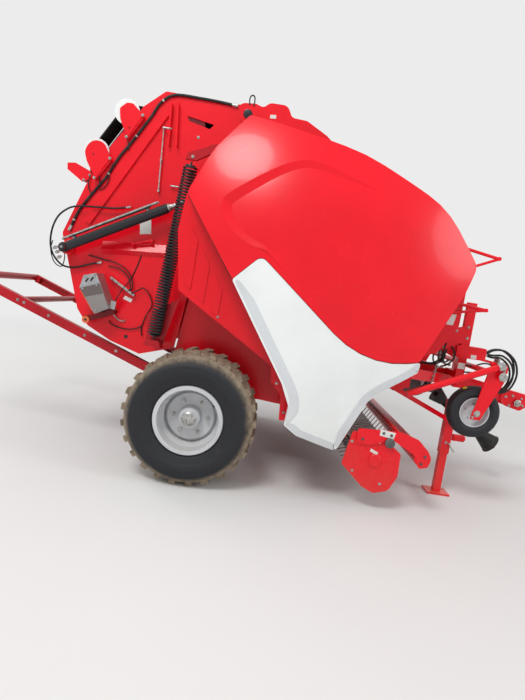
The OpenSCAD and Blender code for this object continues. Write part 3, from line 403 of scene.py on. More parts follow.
spring_foot, spring_top, spring_out = (-362, 930), (-255, 2200), 238
coil_radius, coil_pitch, wire_radius, coil_steps = 45, 21, 7, 14
least_hook, hook_bend = 35, 16
for side, s in sides.items():
    foot, top = (on_gate(s, x, spring_out, z) for x, z in (spring_foot, spring_top))
    axis = (top - foot).normalized()
    across = axis.orthogonal().normalized()
    other = axis.cross(across)
    length = (top - foot).length * 1000
    turns = math.floor((length - 2 * least_hook) / coil_pitch)
    hook = (length - turns * coil_pitch) / 2
    wire = [foot + axis * 0.002, foot + axis * (hook - hook_bend) / 1000]
    for k in range(turns * coil_steps + 1):
        centre = foot + axis * (hook + coil_pitch * k / coil_steps) / 1000
        wire.append(on_circle(centre, coil_radius, across, other, k, coil_steps))
    wire += [top - axis * (hook - hook_bend) / 1000, top - axis * 0.002]
    spring = Shape()
    spring.tube(wire, wire_radius, 7)
    for end, way in ((foot, axis), (top, -axis)):
        spring.turned(end + way * 0.024, way, [(0, 18), (4, 36), (12, 38), (16, 30)], 20)
    spring.place(f"spring_{side}", satin_black, "tailgate", *once(side, "springs"))

# Tailgate hoses
# A rubber hose runs down the rear edge of each plate from the hinge to the cylinder's
# butt, clipped to the sheet, and a shorter one loops back from there to the manifold.
# Thin branches leave them, and the ends are crimped into plated ferrules.
hose_rubber = rubbery("hose_rubber", tone(26, 26, 28), tone(64, 60, 55), 0.5)
zinc = bare_metal("zinc_plate", tone(196, 196, 192), tone(150, 138, 116), 0.1, 0.28)
# Rows of (x, z), and of (x, distance out from the plate, z).
edge_route = [
    (-20, 2688), (-150, 2697), (-300, 2702), (-480, 2698), (-575, 2630), (-632, 2525),
    (-694, 2420), (-746, 2335), (-834, 2200), (-913, 2045), (-1010, 1900), (-1088, 1770),
    (-1140, 1625)
]
loop_route = [
    (-707, 30, 1854), (-817, 34, 1830), (-935, 38, 1820), (-1046, 42, 1811), (-1105, 46, 1799),
    (-1150, 50, 1778), (-1209, 56, 1721), (-1244, 60, 1635), (-1252, 62, 1530), (-1231, 60, 1444),
    (-1179, 52, 1378), (-1120, 40, 1352), (-1040, 28, 1362), (-960, 20, 1395), (-880, 16, 1420)
]
branch_routes = [
    [(-776, 34, 2425), (-774, 26, 2378), (-782, 22, 2337), (-768, 16, 2290), (-775, 10, 2262)],
    [(-1020, 34, 2200), (-1002, 28, 2168), (-980, 24, 2130), (-962, 18, 2060), (-956, 10, 1990)],
    [(-1025, 20, 2039), (-1034, 18, 2002), (-1031, 12, 1953), (-1016, 8, 1923), (-995, 8, 1905)],
    [(-888, 10, 2060), (-896, 10, 2010), (-922, 10, 1968), (-955, 10, 1950)],
    [(-1231, 70, 1530), (-1239, 70, 1456), (-1204, 66, 1372), (-1149, 60, 1350),
     (-1134, 60, 1427), (-1153, 60, 1490)]
]
edge_out, edge_radius, loop_radius, branch_radius = 10.4, 10, 7, 4
# The clips' places, as points of the edge hose's path.
edge_clips = (19, 33, 44, 57)


def smooth_path(points, steps):
    """A curve through the points, with that many parts between each two."""
    path = []
    for i in range(len(points) - 1):
        before, a, b = points[max(i - 1, 0)], points[i], points[i + 1]
        after = points[min(i + 2, len(points) - 1)]
        for k in range(steps):
            t = k / steps
            path.append(0.5 * (
                2 * a + (b - before) * t + (2 * before - 5 * a + 4 * b - after) * t * t
                + (3 * a - before - 3 * b + after) * t ** 3
            ))
    return path + [points[-1]]


def gate_path(s, route, steps):
    """A curve beside a tailgate plate, through rows of (x, distance out, z)."""
    return smooth_path([on_gate(s, *row) for row in route], steps)


def path_length(path):
    return sum((b - a).length for a, b in zip(path, path[1:]))


def end_fittings(shape, path, behind, profile, sides):
    """Turned ends on both ends of a path, each started that far behind it, in metres."""
    for end, after in ((path[0], path[1]), (path[-1], path[-2])):
        along = (after - end).normalized()
        shape.turned(end - along * behind, along, profile, sides)


for side, s in sides.items():
    path = smooth_path([on_gate(s, x, edge_out, z) for x, z in edge_route], 5)
    edge_hose = Shape()
    edge_hose.tube(path, edge_radius, 10)
    piece = edge_hose.place(f"edge_hose_{side}", hose_rubber, "tailgate",
                            *once(side, "tailgate_hoses"))
    path_length(path)
    loop = gate_path(s, loop_route, 5)
    loop_hose = Shape()
    loop_hose.tube(loop, loop_radius, 9)
    piece = loop_hose.place(f"loop_hose_{side}", hose_rubber, "tailgate")
    path_length(loop)
    branches = Shape()
    for route in branch_routes:
        branches.tube(gate_path(s, route, 4), branch_radius, 7)
    branches.place(f"branch_hoses_{side}", hose_rubber, "tailgate")
    clips = Shape()
    for k in edge_clips:
        along = (path[k + 1] - path[k - 1]).normalized()
        clips.turned(path[k] - along * 0.006, along, [(0, 12), (12, 12)], 14)
    end_fittings(clips, path, 0.004, [(0, 13), (22, 13), (26, 11), (44, 11)], 12)
    end_fittings(clips, loop, 0.012, [(0, 8), (10, 10), (24, 10), (26, 8), (36, 8)], 10)
    clips.place(f"hose_fittings_{side}", zinc, "tailgate")

# Tailgate bolts and slot sheets
# Plated bolts hold the flap and the rollers' carriers to each plate, and a sheet in the
# darker red behind the upper slot paints the shade inside it.
outward = {side: (0, s, 0) for side, s in sides.items()}
# Rows of (x, z, distance out from the plate, size).
gate_bolts = [
    (-688, 2515, 44, 9), (-788, 2348, 44, 9), (-890, 2180, 44, 9), (-988, 2025, 44, 9),
    (-1036, 2046, 6.3, 8), (-1078, 2006, 6.3, 8), (-274, 2430, 0, 9), (-250, 2232, 250, 9)
]
slot_shade_sheet = [(-385, 2580), (-160, 2545), (-190, 2492), (-362, 2528)]


def gate_plate(shape, s, outline, near, far, bevel=1):
    """A flat piece beside a tailgate plate, its faces near and far out from it."""
    shape.plate(outline, s * (gate_face + near), s * (gate_face + far), bevel)


for side, s in sides.items():
    bolts = Shape()
    for x, z, out, size in gate_bolts:
        bolts.bolt(on_gate(s, x, out, z), outward[side], size)
    bolts.place(f"tailgate_bolts_{side}", zinc, "tailgate")
    back = Shape()
    # The darker red sheet behind the slot is painted shade.
    gate_plate(back, s, slot_shade_sheet, -8.3, -11)
    back.place(f"slot_shade_back_{side}", shade_red, "tailgate")

# Release rods, manifolds and small plates
# A thin plated rod with its clips runs beside the fins. The manifold is a plated block
# screwed to the plate, with small rubber hoses. Bare white plates are glued to the sheet,
# and the reflectors have dark centres. Two dark plates on each lamp box are painted shade
# in its slots.
guard_plastic = rubbery("guard_plastic", tone(34, 34, 35), tone(70, 66, 60), 0.42)
plate_white = painted("blank_plate", tone(226, 226, 222), tone(214, 214, 209), dust=0.25,
                      gloss=0.35)
release_rod = [(-528, 26, 2456), (-522, 26, 2300), (-511, 26, 1998)]
rod_clips = [(-528, 2450), (-520, 2225), (-511, 2004)]
rod_handle, lock_pin = (-532, 40, 2452), (-425, 20, 2054)
manifold = [(-782, 1331), (-589, 1219), (-597, 1205), (-790, 1317)]
manifold_near, manifold_far = 24, 34
manifold_screws = [(-770, 1312), (-735, 1292), (-652, 1244), (-616, 1223)]
lower_pipe = [(-757, 16, 1068), (-719, 12, 1032), (-690, 10, 1012), (-658, 8, 1006),
              (-643, 8, 1019)]
loop_unions, union_axis = [(-1227, 56, 1473), (-1207, 56, 1444), (-1191, 56, 1406)], (0.86, 0, 0.5)
small_routes = [
    [(-616, 40, 1223), (-560, 30, 1262), (-542, 26, 1278), (-498, 22, 1256), (-463, 18, 1203),
     (-456, 16, 1150), (-482, 14, 1092), (-509, 14, 1010), (-512, 14, 955), (-500, 14, 915)],
    [(-765, 12, 996), (-745, 12, 972), (-677, 12, 953), (-593, 12, 955), (-522, 12, 984),
     (-505, 12, 1020)],
    [(-625, 40, 1240), (-628, 36, 1268), (-637, 30, 1312), (-672, 22, 1360), (-741, 16, 1396),
     (-820, 12, 1405)],
    [(-640, 40, 1246), (-614, 36, 1262), (-622, 30, 1320), (-656, 24, 1379), (-727, 18, 1422),
     (-795, 14, 1440), (-861, 12, 1447), (-975, 10, 1462)]
]
bare_outlines = [
    [(-629, 1797), (-545, 1809), (-530, 1686), (-614, 1673)],
    [(-668, 1201), (-607, 1182), (-620, 1155), (-682, 1176)]
]
lamp_centre, reflector_centre = (-915, 97.5, 985), (-626, 0, 892)
# Two dark plates on each lamp box paint the shade in its slots.
box_slot_shades, slot_shade_near, slot_shade_far = [(-911, 1280), (-876, 1291)], 168, 171
for side, s in sides.items():
    out = outward[side]
    rod = Shape()
    rod.tube([on_gate(s, *row) for row in release_rod], 5, 8)
    for x, z in rod_clips:
        rod.turned(on_gate(s, x, 0, z), out, [(0, 9), (30, 9), (33, 7)], 12)
    rod.turned(on_gate(s, *rod_handle), (1, 0, 0), [(0, 7), (62, 7), (66, 5)], 12)
    gate_plate(rod, s, manifold, manifold_near, manifold_far)
    for x, z in manifold_screws:
        rod.turned(on_gate(s, x, manifold_far, z), out, [(0, 9), (6, 9), (8, 6), (16, 6)], 6)
    rod.tube(gate_path(s, lower_pipe, 4), 5, 7)
    rod.turned(on_gate(s, *lock_pin), (1, 0, 0), [(0, 7), (58, 7), (60, 5)], 10)
    rod.turned(on_gate(s, lock_pin[0], 0, lock_pin[2]), out, [(0, 6), (26, 6)], 10)
    for union in loop_unions:
        rod.turned(on_gate(s, *union), union_axis,
                   [(0, 9), (8, 9), (10, 13), (22, 13), (24, 9), (34, 9)], 6)
    rod.place(f"release_rod_{side}", zinc, "tailgate")
    small = Shape()
    for route in small_routes:
        small.tube(gate_path(s, route, 5), 4.5, 8)
    small.place(f"small_hoses_{side}", hose_rubber, "tailgate")
    bare = Shape()
    for outline in bare_outlines:
        gate_plate(bare, s, outline, 0, 2, 0.8)
    bare.place(f"bare_plates_{side}", plate_white, "tailgate")
    centres_and_slot_shades = Shape()
    centres_and_slot_shades.turned(on_gate(s, *lamp_centre), out, [(0, 9), (4, 9), (5, 7)], 18)
    centres_and_slot_shades.turned(on_gate(s, *reflector_centre), out, [(0, 15), (2, 15), (3, 11)], 18)
    for x, z in box_slot_shades:
        slot_shade_outline = [(x - 15, z - 12), (x - 3, z - 18), (x + 15, z + 13), (x + 3, z + 19)]
        gate_plate(centres_and_slot_shades, s, slot_shade_outline, slot_shade_near, slot_shade_far)
    centres_and_slot_shades.place(f"reflector_centres_{side}", guard_plastic, "tailgate")

# Lamp boxes and lamps
# Each box is folded from galvanised sheet, whose crystals show as patches of grey, with
# a small bracket. Two darker sheets screwed on its lower half are painted shade. The orange
# lamps have moulded lenses with painted glints; a holder below is painted shade in the
# darker red, and a cable runs up the plate.


def galvanised_sheet():
    sheet = Surface("galvanised_sheet", Metallic=0.7)
    patches = sheet.place.cells(85, output=1)
    crystal = patches.node("ShaderNodeRGBToBW", {"Color": patches})
    dirt = sheet.place.noise(9, 5).ramp(0.5, 0.8)
    pale = crystal.blend(tone(150, 152, 154), tone(186, 188, 190))
    sheet.set(
        Base_Color=(dirt * 0.5).blend(pale, dust_tone),
        Roughness=crystal * 0.12 + dirt * 0.25 + 0.3,
    )
    return sheet.material


def lens_plastic(name, colour, lit):
    lens = Surface(name, Coat_Weight=0.8, Roughness=0.12)
    facets = lens.place.cells(260)
    # The lighter cells are painted glints on the lens's facets.
    lens.set(Base_Color=facets.ramp(0.1, 0.7).blend(lit, colour))
    lens.bump(facets, 0.5, 0.002)
    return lens.material


galvanised = galvanised_sheet()
orange_lens = lens_plastic("orange_lens", tone(214, 78, 18), tone(240, 128, 50))
finish(galvanised, "lamp_boxes")
finish(orange_lens, "lamps")
# Two darker sheets on each box's lower half are painted shade, the upper one the darker.
deep_shade_zinc = painted("deep_shade_zinc", tone(106, 96, 94), tone(84, 74, 74), dust=0.5, gloss=0.4, low=1.0)
half_shade_zinc = painted("half_shade_zinc", tone(142, 136, 134), tone(122, 116, 114), dust=0.5, gloss=0.4,
                    low=1.0)
box_out, shade_sheet_thick = 170, 3
box_shade_sheets = {
    "upper": (deep_shade_zinc, [(-957, 1215), (-818, 1269), (-782, 1199), (-912, 1156)]),
    "lower": (half_shade_zinc, [(-910, 1153), (-780, 1196), (-733, 1104), (-829, 1050)])
}
box_bracket = [(-742, 1096), (-700, 1092), (-694, 1150), (-732, 1158)]
bracket_near, bracket_far = 120, 124
box_screws = [(-936, 1212), (-836, 1252), (-752, 1108), (-824, 1070), (-928, 1300), (-858, 1324)]
lamp_holder = [(-938, 1010), (-820, 1040), (-740, 1096), (-710, 1086), (-714, 1056), (-848, 996),
               (-928, 968)]
holder_out, holder_bevel = 84, 3
lamp_cable = [(-740, 60, 1110), (-716, 50, 1170), (-690, 30, 1240), (-640, 8, 1330),
              (-600, 5, 1450), (-575, 5, 1560)]
for side, s in sides.items():
    for name, (shade_sheet_paint, outline) in box_shade_sheets.items():
        cover = Shape()
        gate_plate(cover, s, outline, box_out, box_out + shade_sheet_thick)
        cover.place(f"lamp_box_{name}_cover_{side}", shade_sheet_paint, "tailgate")
    trim = Shape()
    gate_plate(trim, s, box_bracket, bracket_near, bracket_far)
    trim.bolts(box_screws, s * (gate_face + box_out + shade_sheet_thick), 6)
    trim.place(f"lamp_box_trim_{side}", galvanised, "tailgate")
    # The holder's darker red is painted shade.
    holder = Shape()
    gate_plate(holder, s, lamp_holder, 0, holder_out, holder_bevel)
    holder.place(f"lamp_holder_{side}", shade_red, "tailgate")
    cable = Shape()
    cable.tube(gate_path(s, lamp_cable, 5), 4, 7)
    cable.place(f"lamp_cable_{side}", hose_rubber, "tailgate")

# Tailgate cylinders
# A drawn barrel in satin black with a long head and a plated gland, a pipe beside it
# between two port fittings, and a hard-chromed rod. Capped pins hold both ends.
chrome = bare_metal("rod_chrome", tone(205, 206, 208), tone(150, 140, 125), 0.0, 0.12)
finish(chrome, "cylinder_rod_right cylinder_rod_left")
finish(satin_black, "cylinder_barrel_right cylinder_barrel_left")
butt, rod_eye, cylinder_out = Vector((-1125, 1490)), Vector((-180, 2000)), 115
way = (rod_eye - butt).normalized()
barrel_line, barrel_up = (way.x, 0, way.y), (-way.y, 0, way.x)
head_from, gland_from, ports, port_up = 734, 818, (96, 676), 30
# How far out the pins' caps and their bolts lie, at the butt and at the rod's eye.
butt_cap, butt_bolt, eye_cap, eye_bolt = (cylinder_out + out for out in (45, 51, 36, 44))
# Rows of (distance from the butt, height above the barrel's axis).
barrel_pipe = [(12, 62), (60, 60), (400, 62), (700, 64), (770, 62)]


def on_barrel(s, distance, up=0):
    place = butt + way * distance + Vector((-way.y, way.x)) * up
    return on_gate(s, place.x, cylinder_out, place.y)


for side, s in sides.items():
    out = outward[side]
    head = Shape()
    head.turned(on_barrel(s, head_from), barrel_line, [(0, 32), (1, 35), (80, 35), (84, 32)], 28)
    head.turned(on_gate(s, butt.x, butt_cap, butt.y), out, [(0, 24), (4, 24), (7, 20)], 24)
    head.place(f"cylinder_head_{side}", satin_black, f"barrel_{side}")
    gland = Shape()
    gland.turned(on_barrel(s, gland_from), barrel_line,
                 [(0, 26), (2, 30), (16, 30), (20, 25), (34, 22)], 24)
    for distance in ports:
        gland.turned(on_barrel(s, distance, port_up), barrel_up,
                     [(0, 12), (12, 12), (14, 9), (36, 9)], 6)
    gland.tube(smooth_path([on_barrel(s, *row) for row in barrel_pipe], 4), 9.2, 9)
    gland.bolt(on_gate(s, butt.x, butt_bolt, butt.y), out, 8)
    gland.place(f"cylinder_fittings_{side}", zinc, f"barrel_{side}")
    pin = Shape()
    pin.turned(on_gate(s, rod_eye.x, eye_cap, rod_eye.y), out, [(0, 26), (5, 26), (8, 22)], 24)
    pin.bolt(on_gate(s, rod_eye.x, eye_bolt, rod_eye.y), out, 11)
    pin.place(f"eye_pin_{side}", zinc, "frame")

# Parked hoses
# The tractor's rubber hoses are parked in loops of different sizes: each leaves the valve
# box, hangs in front of the mast and stands with its plated coupling in the holder.
bundle_route = [
    (2220.4, -345, 1150), (2240, -345, 1150), (2300, -340, 1195), (2400, -330, 1200),
    (2500, -320, 1130), (2540, -310, 1010), (2505, -300, 890), (2425, -295, 850),
    (2365, -292, 900), (2360, -290, 980), (2380, -290, 1040), (2380, -290, 1065.6)
]
loop_middle, hose_spacing = (2400, 1010), 20
hanging = range(2, len(bundle_route) - 3)
# Rows of (the loop's size, how far it drops).
hose_slack = [(1.0, 0), (0.86, 16), (0.94, -12), (0.8, 26)]
below_end, above_end = Vector((0, 0, -0.05)), Vector((0, 0, 0.0246))
couplings = Shape()
for k, (size, drop) in enumerate(hose_slack):
    path = smooth_path([
        at(loop_middle[0] + (x - loop_middle[0]) * size, y + hose_spacing * k,
           loop_middle[1] + (z - loop_middle[1]) * size - drop)
        if i in hanging else at(x, y + hose_spacing * k, z)
        for i, (x, y, z) in enumerate(bundle_route)
    ], 6)
    hose = Shape()
    hose.tube(path, 8.5, 10)
    piece = hose.place(f"parked_hose_{k + 1}", hose_rubber, "frame",
                       *(["hose_bundle"] if k == 0 else []))
    path_length(path)
    couplings.turned(path[-1] + below_end, (0, 0, 1),
                     [(0, 11), (6, 14), (30, 14), (34, 11), (50, 11)], 12)
    couplings.turned(path[-1] + above_end, (0, 0, 1),
                     [(0, 15), (10, 15), (12, 12), (34, 12), (36, 9), (46, 9)], 16)
    couplings.turned(path[0] - Vector((0.0003, 0, 0)), (1, 0, 0),
                     [(0, 15), (12, 15), (14, 12), (30, 12)], 6)
couplings.place("hose_couplings", zinc, "frame")

# Mast and valves
# The valve box has a folded lid screwed on and small bare plates. The cast valve block
# stands behind it with its spools and a tangle of small hoses, and plated bolts hold the
# mast's bracket plate.
lid_near, lid_far = -402, -268
box_trim = Shape()
box_trim.plate([(1978, 1186), (1990, 1200), (2212, 1200), (2224, 1186)], lid_near, lid_far, 2)
box_trim.bolts([(2004, 1112), (2196, 1112), (2004, 1170), (2196, 1170)], lid_near + 2, 6)
box_trim.place("valve_box_lid", red, "frame")
# Each bare plate is the y of the sheet that it lies on, and its outline.
bare = Shape()
for sheet_y, outline in (
    (-400, [(2100, 1104), (2146, 1104), (2146, 1136), (2100, 1136)]),
    (-360, [(2026, 1006), (2084, 1006), (2084, 1056), (2026, 1056)]),
    (-623, [(1776, 1430), (1846, 1434), (1832, 1350), (1782, 1349)]),
    (-623, [(224, 2672), (268, 2676), (270, 2650), (226, 2646)]),
):
    bare.plate(outline, sheet_y - 2, sheet_y, 0.8)
bare.place("mast_bare_labels", plate_white, "frame")
valve_y, valve_step, valve_count = -320, 40, 4
# Places (x, z) of the spools' ends, the ports below and the bolts above.
spool, port, top_bolt = (1880, 1190), (1924, 1150), (1905, 1270)
side_plugs, plug_z = (1905, 1950, 1995), 1210
valve = Shape()
for k in range(valve_count):
    y = valve_y + valve_step * k
    valve.turned(at(spool[0], y, spool[1]), (-1, 0, 0),
                 [(0, 17), (16, 17), (18, 12), (60, 12), (64, 9), (70, 9)], 16)
    valve.turned(at(port[0], y, port[1]), (0, 0, -1), [(0, 13), (10, 13), (12, 9), (30, 9)], 6)
    valve.bolt(at(top_bolt[0], y - 10, top_bolt[1]), (0, 0, 1), 7)
for x in side_plugs:
    valve.turned(at(x, valve_y - 10, plug_z), (0, -1, 0),
                 [(0, 20), (5, 20), (8, 15), (22, 15), (26, 11)], 16)
valve.place("valve_spools", cast, "frame")
# Rows of (x, sideways shift for each pipe, sideways shift of all, z).
down_pipe = [(1924, 0, 0, 1122), (1920, 0, 0, 1060), (1850, -14, 0, 1010), (1720, -20, 0, 1010),
             (1640, 0, -20, 1040), (1588, 0, -20, 1060)]
pipes = Shape()
for k in range(valve_count - 1):
    y = valve_y + valve_step * (k + 0.5)
    pipes.tube(smooth_path([at(x, y + (each * k + shift), z) for x, each, shift, z in down_pipe],
                           5), 8, 9)
tangle_routes = [
    [(1890, -330, 1240), (1868, -392, 1200), (1838, -410, 1120), (1850, -404, 1052),
     (1905, -360, 1040)],
    [(1910, -330, 1225), (1880, -404, 1170), (1868, -420, 1100), (1896, -404, 1046),
     (1950, -340, 1060)],
    [(1935, -330, 1190), (1952, -398, 1160), (1968, -408, 1100), (1940, -396, 1040),
     (1900, -350, 1000)],
    [(1885, -300, 1152), (1820, -372, 1120), (1806, -388, 1062), (1840, -372, 1010),
     (1890, -300, 990)],
    [(1925, -330, 1170), (1900, -388, 1130), (1880, -380, 1072), (1920, -330, 1030),
     (1985, -280, 1020)]
]
cross_routes = [
    [(2086, -368, 1043), (2140, -380, 1046), (2228, -370, 1079), (2290, -352, 1075),
     (2340, -330, 1051)],
    [(2086, -364, 985), (2141, -374, 991), (2200, -376, 986), (2259, -362, 994),
     (2386, -326, 1028)]
]
for route in tangle_routes + cross_routes:
    pipes.tube(smooth_path([at(*row) for row in route], 5), 6.5, 8)
pipes.place("valve_hoses", hose_rubber, "frame")
fittings = Shape()
for route in tangle_routes:
    end_fittings(fittings, [at(*row) for row in route], 0.006,
                 [(0, 12), (14, 12), (16, 9), (34, 9)], 6)
fittings.place("valve_fittings", zinc, "frame")
bracket_y = -371
plate_bolts = Shape()
plate_bolts.bolts([(1900, 1290), (1880, 1165), (1960, 1310), (2050, 1350), (2055, 1262),
                   (1975, 1110)], bracket_y, 9)
plate_bolts.place("bracket_bolts", zinc, "frame")

# Gauge wheels
# Small tyres on silver steel rims, stowed beside the drawbar on forked red arms. Plated
# hub caps and bushings close the arms' ends, studs and a valve stem sit in the rims, and
# the right arm has a yellow marker.


def tyre_rubber(name, axle, tread_from, wall):
    """Blue-black rubber, ringed finely, with dry soil on the tread, round an axle (x, z)."""
    tyre = Surface(name, Specular_IOR_Level=0.35)
    height = tyre.place.part("Z") - axle[1]
    along = tyre.place.part("X") - axle[0]
    reach = (height * height + along * along).maths("SQRT")
    soil = tyre.place.noise(26, 6, 0.7)
    patch = tyre.place.noise(6, 3)
    on_tread = reach.ramp(tread_from - 0.03, tread_from + 0.035)
    film = on_tread * (soil.ramp(0.3, 0.62) * 0.35 + 0.45) + patch.ramp(0.5, 0.8) * 0.15
    rings = (reach * 210).maths("SINE") * reach.ramp(wall, wall + 0.02)
    tyre.set(
        Base_Color=film.ramp(0.05, 1.0).blend(
            soil.blend(tone(25, 27, 32), tone(42, 43, 47)),
            patch.blend(tone(140, 124, 104), tone(168, 152, 130)),
        ),
        Roughness=film * 0.3 + soil * 0.15 + 0.5,
    )
    tyre.bump(rings * 0.2 + soil * on_tread * 1.4, 0.35, 0.004)
    return tyre.material


gauge_skin = tyre_rubber("gauge_tyre_rubber", (axle_x + 2.03, 0.745), tread_from=0.20, wall=0.12)
silver = painted("silver_paint", tone(206, 208, 211), tone(190, 192, 195), dust=0.3, gloss=0.3,
                 low=0.85, shine=0.4)
yellow_plastic = rubbery("yellow_plastic", tone(222, 178, 40), tone(196, 154, 40), 0.4)
finish(gauge_skin, "gauge_tyre_right gauge_tyre_left")
finish(silver, "gauge_rim_right gauge_rim_left")
gauge_x, gauge_z, gauge_track, gauge_arm_y = 2030, 745, 800, 860
stud_count, stud_circle = 5, 58
fork_face, cap_face, bushing_y = (gauge_arm_y + out for out in (24, 60, 42))
arm_axis, bushing, bushing_axis = (2150, 1040), (2110, 1100), (0.9, 0, 0.42)
stem_place = (88, 12, 20)
for side, s in sides.items():
    out = outward[side]
    hub = Shape()
    hub.turned(at(gauge_x, s * fork_face, gauge_z), out,
               [(0, 24), (4, 24), (6, 16), (16, 16), (20, 12)], 20)
    hub.turned(at(arm_axis[0], s * cap_face, arm_axis[1]), out,
               [(0, 32), (5, 32), (8, 26), (12, 26)], 24)
    hub.turned(at(bushing[0], s * bushing_y, bushing[1]), bushing_axis,
               [(0, 30), (46, 30), (50, 24)], 20)
    hub.bolts([(2108, 1096), (2166, 1080), (2040, 760), (2004, 716)], s * fork_face, 8)
    hub.place(f"gauge_arm_ends_{side}", zinc, "frame")
    studs = Shape()
    for k in range(stud_count):
        turn = math.tau * (k + 0.3) / stud_count
        studs.bolt(at(gauge_x + stud_circle * math.cos(turn), s * (gauge_track + 5),
                      gauge_z + stud_circle * math.sin(turn)), out, 7)
    x, y, z = stem_place
    studs.turned(at(gauge_x + x, s * (gauge_track + y), gauge_z + z), out,
                 [(0, 4), (24, 4), (26, 3)], 8)
    studs.place(f"gauge_wheel_nuts_{side}", zinc, f"gauge_wheel_{side}")
marker = Shape()
marker.turned(at(1942, -790, 904), (0, -1, 0), [(0, 14), (18, 18), (34, 18), (38, 12)], 14)
marker.place("arm_marker", yellow_plastic, "frame")

# Main wheels
# Wide lugged tyres on silver steel rims. A plated hub cap sits in the middle of each, with
# washers under the six wheel nuts, and a black valve stem stands in the rim.
tyre_skin = tyre_rubber("tyre_rubber", (axle_x, 0.46), tread_from=0.40, wall=0.25)
finish(tyre_skin, "tyre_right tyre_left")
finish(silver, "rim_right rim_left")
axle_z, half_track = 460, 1000
nut_count, nut_circle = 6, 120
hub_cap_out, washer_out, stud_out = 152, 66, 86
# Rows of (x, distance out from the wheel's middle, height above the axle).
valve_stem = [(150, 100, 108), (156, 130, 112), (158, 168, 114)]
for side, s in sides.items():
    out = outward[side]
    hub = Shape()
    hub.turned(at(0, s * (half_track + hub_cap_out), axle_z), out,
               [(0, 47), (3, 50), (8, 50), (14, 44), (18, 30), (20, 10)], 32)
    for k in range(nut_count):
        turn = math.tau * k / nut_count
        x, z = nut_circle * math.cos(turn), nut_circle * math.sin(turn)
        hub.turned(at(x, s * (half_track + washer_out), axle_z - z), out, [(0, 19), (3, 19)], 20)
        hub.turned(at(x, s * (half_track + stud_out), axle_z - z), out,
                   [(0, 8), (12, 8), (14, 6)], 10)
    hub.place(f"wheel_nuts_{side}", zinc, f"wheel_{side}")
    stem = Shape()
    stem.tube(smooth_path([at(x, s * (half_track + y), axle_z + z) for x, y, z in valve_stem], 4),
              5, 8)
    stem.place(f"valve_stem_{side}", guard_plastic, f"wheel_{side}")

# Pickup and crop press
# The bands between the tines are plated sheet. Each end plate has bolts, a cap over the
# reel's shaft and a bare tag, and each arm of the press a bare white plate, two dark
# bolts in it and a round pivot.
finish(zinc, "pickup_bands")
end_face, arm_face = 1125, 1139
reel_shaft, arm_boss = (1300, 360), (1377, 500)
tag_thick, plate_thick = 2, 3
for side, s in sides.items():
    out = outward[side]
    trim = Shape()
    trim.bolts([(1125, 470), (1214, 505), (1314, 492), (1159, 268), (1362, 200)],
               s * end_face, 8)
    trim.place(f"pickup_bolts_{side}", zinc, "pickup")
    cap = Shape()
    cap.turned(at(reel_shaft[0], s * end_face, reel_shaft[1]), out,
               [(0, 44), (9, 44), (12, 40)], 32)
    cap.place(f"reel_cap_{side}", red, "pickup")
    tag = Shape()
    tag.plate([(1262, 440), (1315, 418), (1309, 398), (1256, 420)], s * end_face,
              s * (end_face + tag_thick), 0.8)
    tag.place(f"pickup_tag_{side}", plate_white, "pickup")
    arm = Shape()
    arm.plate([(1302, 584), (1408, 574), (1397, 528), (1300, 542)], s * arm_face,
              s * (arm_face + plate_thick), 1)
    arm.place(f"press_bare_plate_{side}", plate_white, "crop_press")
    press = Shape()
    press.bolts([(1326, 561), (1380, 553), (1190, 500), (1630, 440), (1612, 388)],
                s * (arm_face + plate_thick), 8)
    press.turned(at(arm_boss[0], s * (arm_face - 3), arm_boss[1]), out,
                 [(0, 34), (18, 34), (22, 28)], 24)
    press.place(f"press_bolts_{side}", cast, "crop_press")

# Rims of the lower panels
# The white panels are folded along their rear, lower and front edges. The fold is a thin
# wedge here, which follows the cover's curve and thins out towards the panel's edge.
# The folds' greyer white is painted shade.
rim_shade_white = painted("shaded_white_paint", tone(216, 220, 223), tone(202, 206, 209), dust=0.25,
                    gloss=0.25, low=1.1)
cover_half, plan_radius, crown_radius, crown_from, plan_from = 1170, 3000, 2600, 1500, 500


def skin_y(x, z):
    """How far out the covers' curved skin is there, as the part's source has it."""
    radius = plan_radius
    if z > crown_from:
        radius += math.sqrt(crown_radius ** 2 - (z - crown_from) ** 2) - crown_radius
    return cover_half - plan_radius + math.sqrt(radius ** 2 - (x - plan_from) ** 2)


def beside(path, i, reach):
    """The place that far to the right of the path's point, both as flat vectors (x, z)."""
    along = (path[min(i + 1, len(path) - 1)] - path[max(i - 1, 0)]).normalized()
    return path[i] + Vector((along.y, -along.x)) * reach


# Each edge is its points (x, z) and the fold's width.
panel_edges = {
    "rear": ([(178, 1426), (300, 1247), (440, 1037), (560, 860), (618, 772), (652, 700),
              (656, 640), (648, 552)], 64),
    "foot": ([(652, 526), (700, 488), (752, 456), (860, 426), (990, 392), (1018, 396)], 46),
    "front": ([(1030, 416), (1080, 522), (1130, 630), (1178, 728), (1222, 785), (1290, 838),
               (1390, 900), (1470, 952), (1512, 986), (1522, 1006), (1528, 1046)], 50)
}
# The fold narrows to this share of its width at its ends, in steps from point to point.
end_share, share_step = 0.35, 0.16
fold_foot, fold_top, edge_top, edge_foot = 0.4, 7, 1.2, 0.3
for side, s in sides.items():
    for place, (points, width) in panel_edges.items():
        rim = Shape()
        outer = smooth_path([Vector(point) for point in points], 5)
        rings = []
        for i, b in enumerate(outer):
            from_end = min(i, len(outer) - 1 - i)
            a = beside(outer, i, -width * min(1, end_share + share_step * from_end))
            ya, yb = skin_y(a.x, a.y), skin_y(b.x, b.y)
            rings.append([
                at(a.x, s * (ya + fold_foot), a.y), at(a.x, s * (ya + fold_top), a.y),
                at(b.x, s * (yb + edge_top), b.y), at(b.x, s * (yb + edge_foot), b.y)
            ])
        rim.rings(rings)
        rim.place(f"panel_rim_{place}_{side}", rim_shade_white, f"cover_{side}")

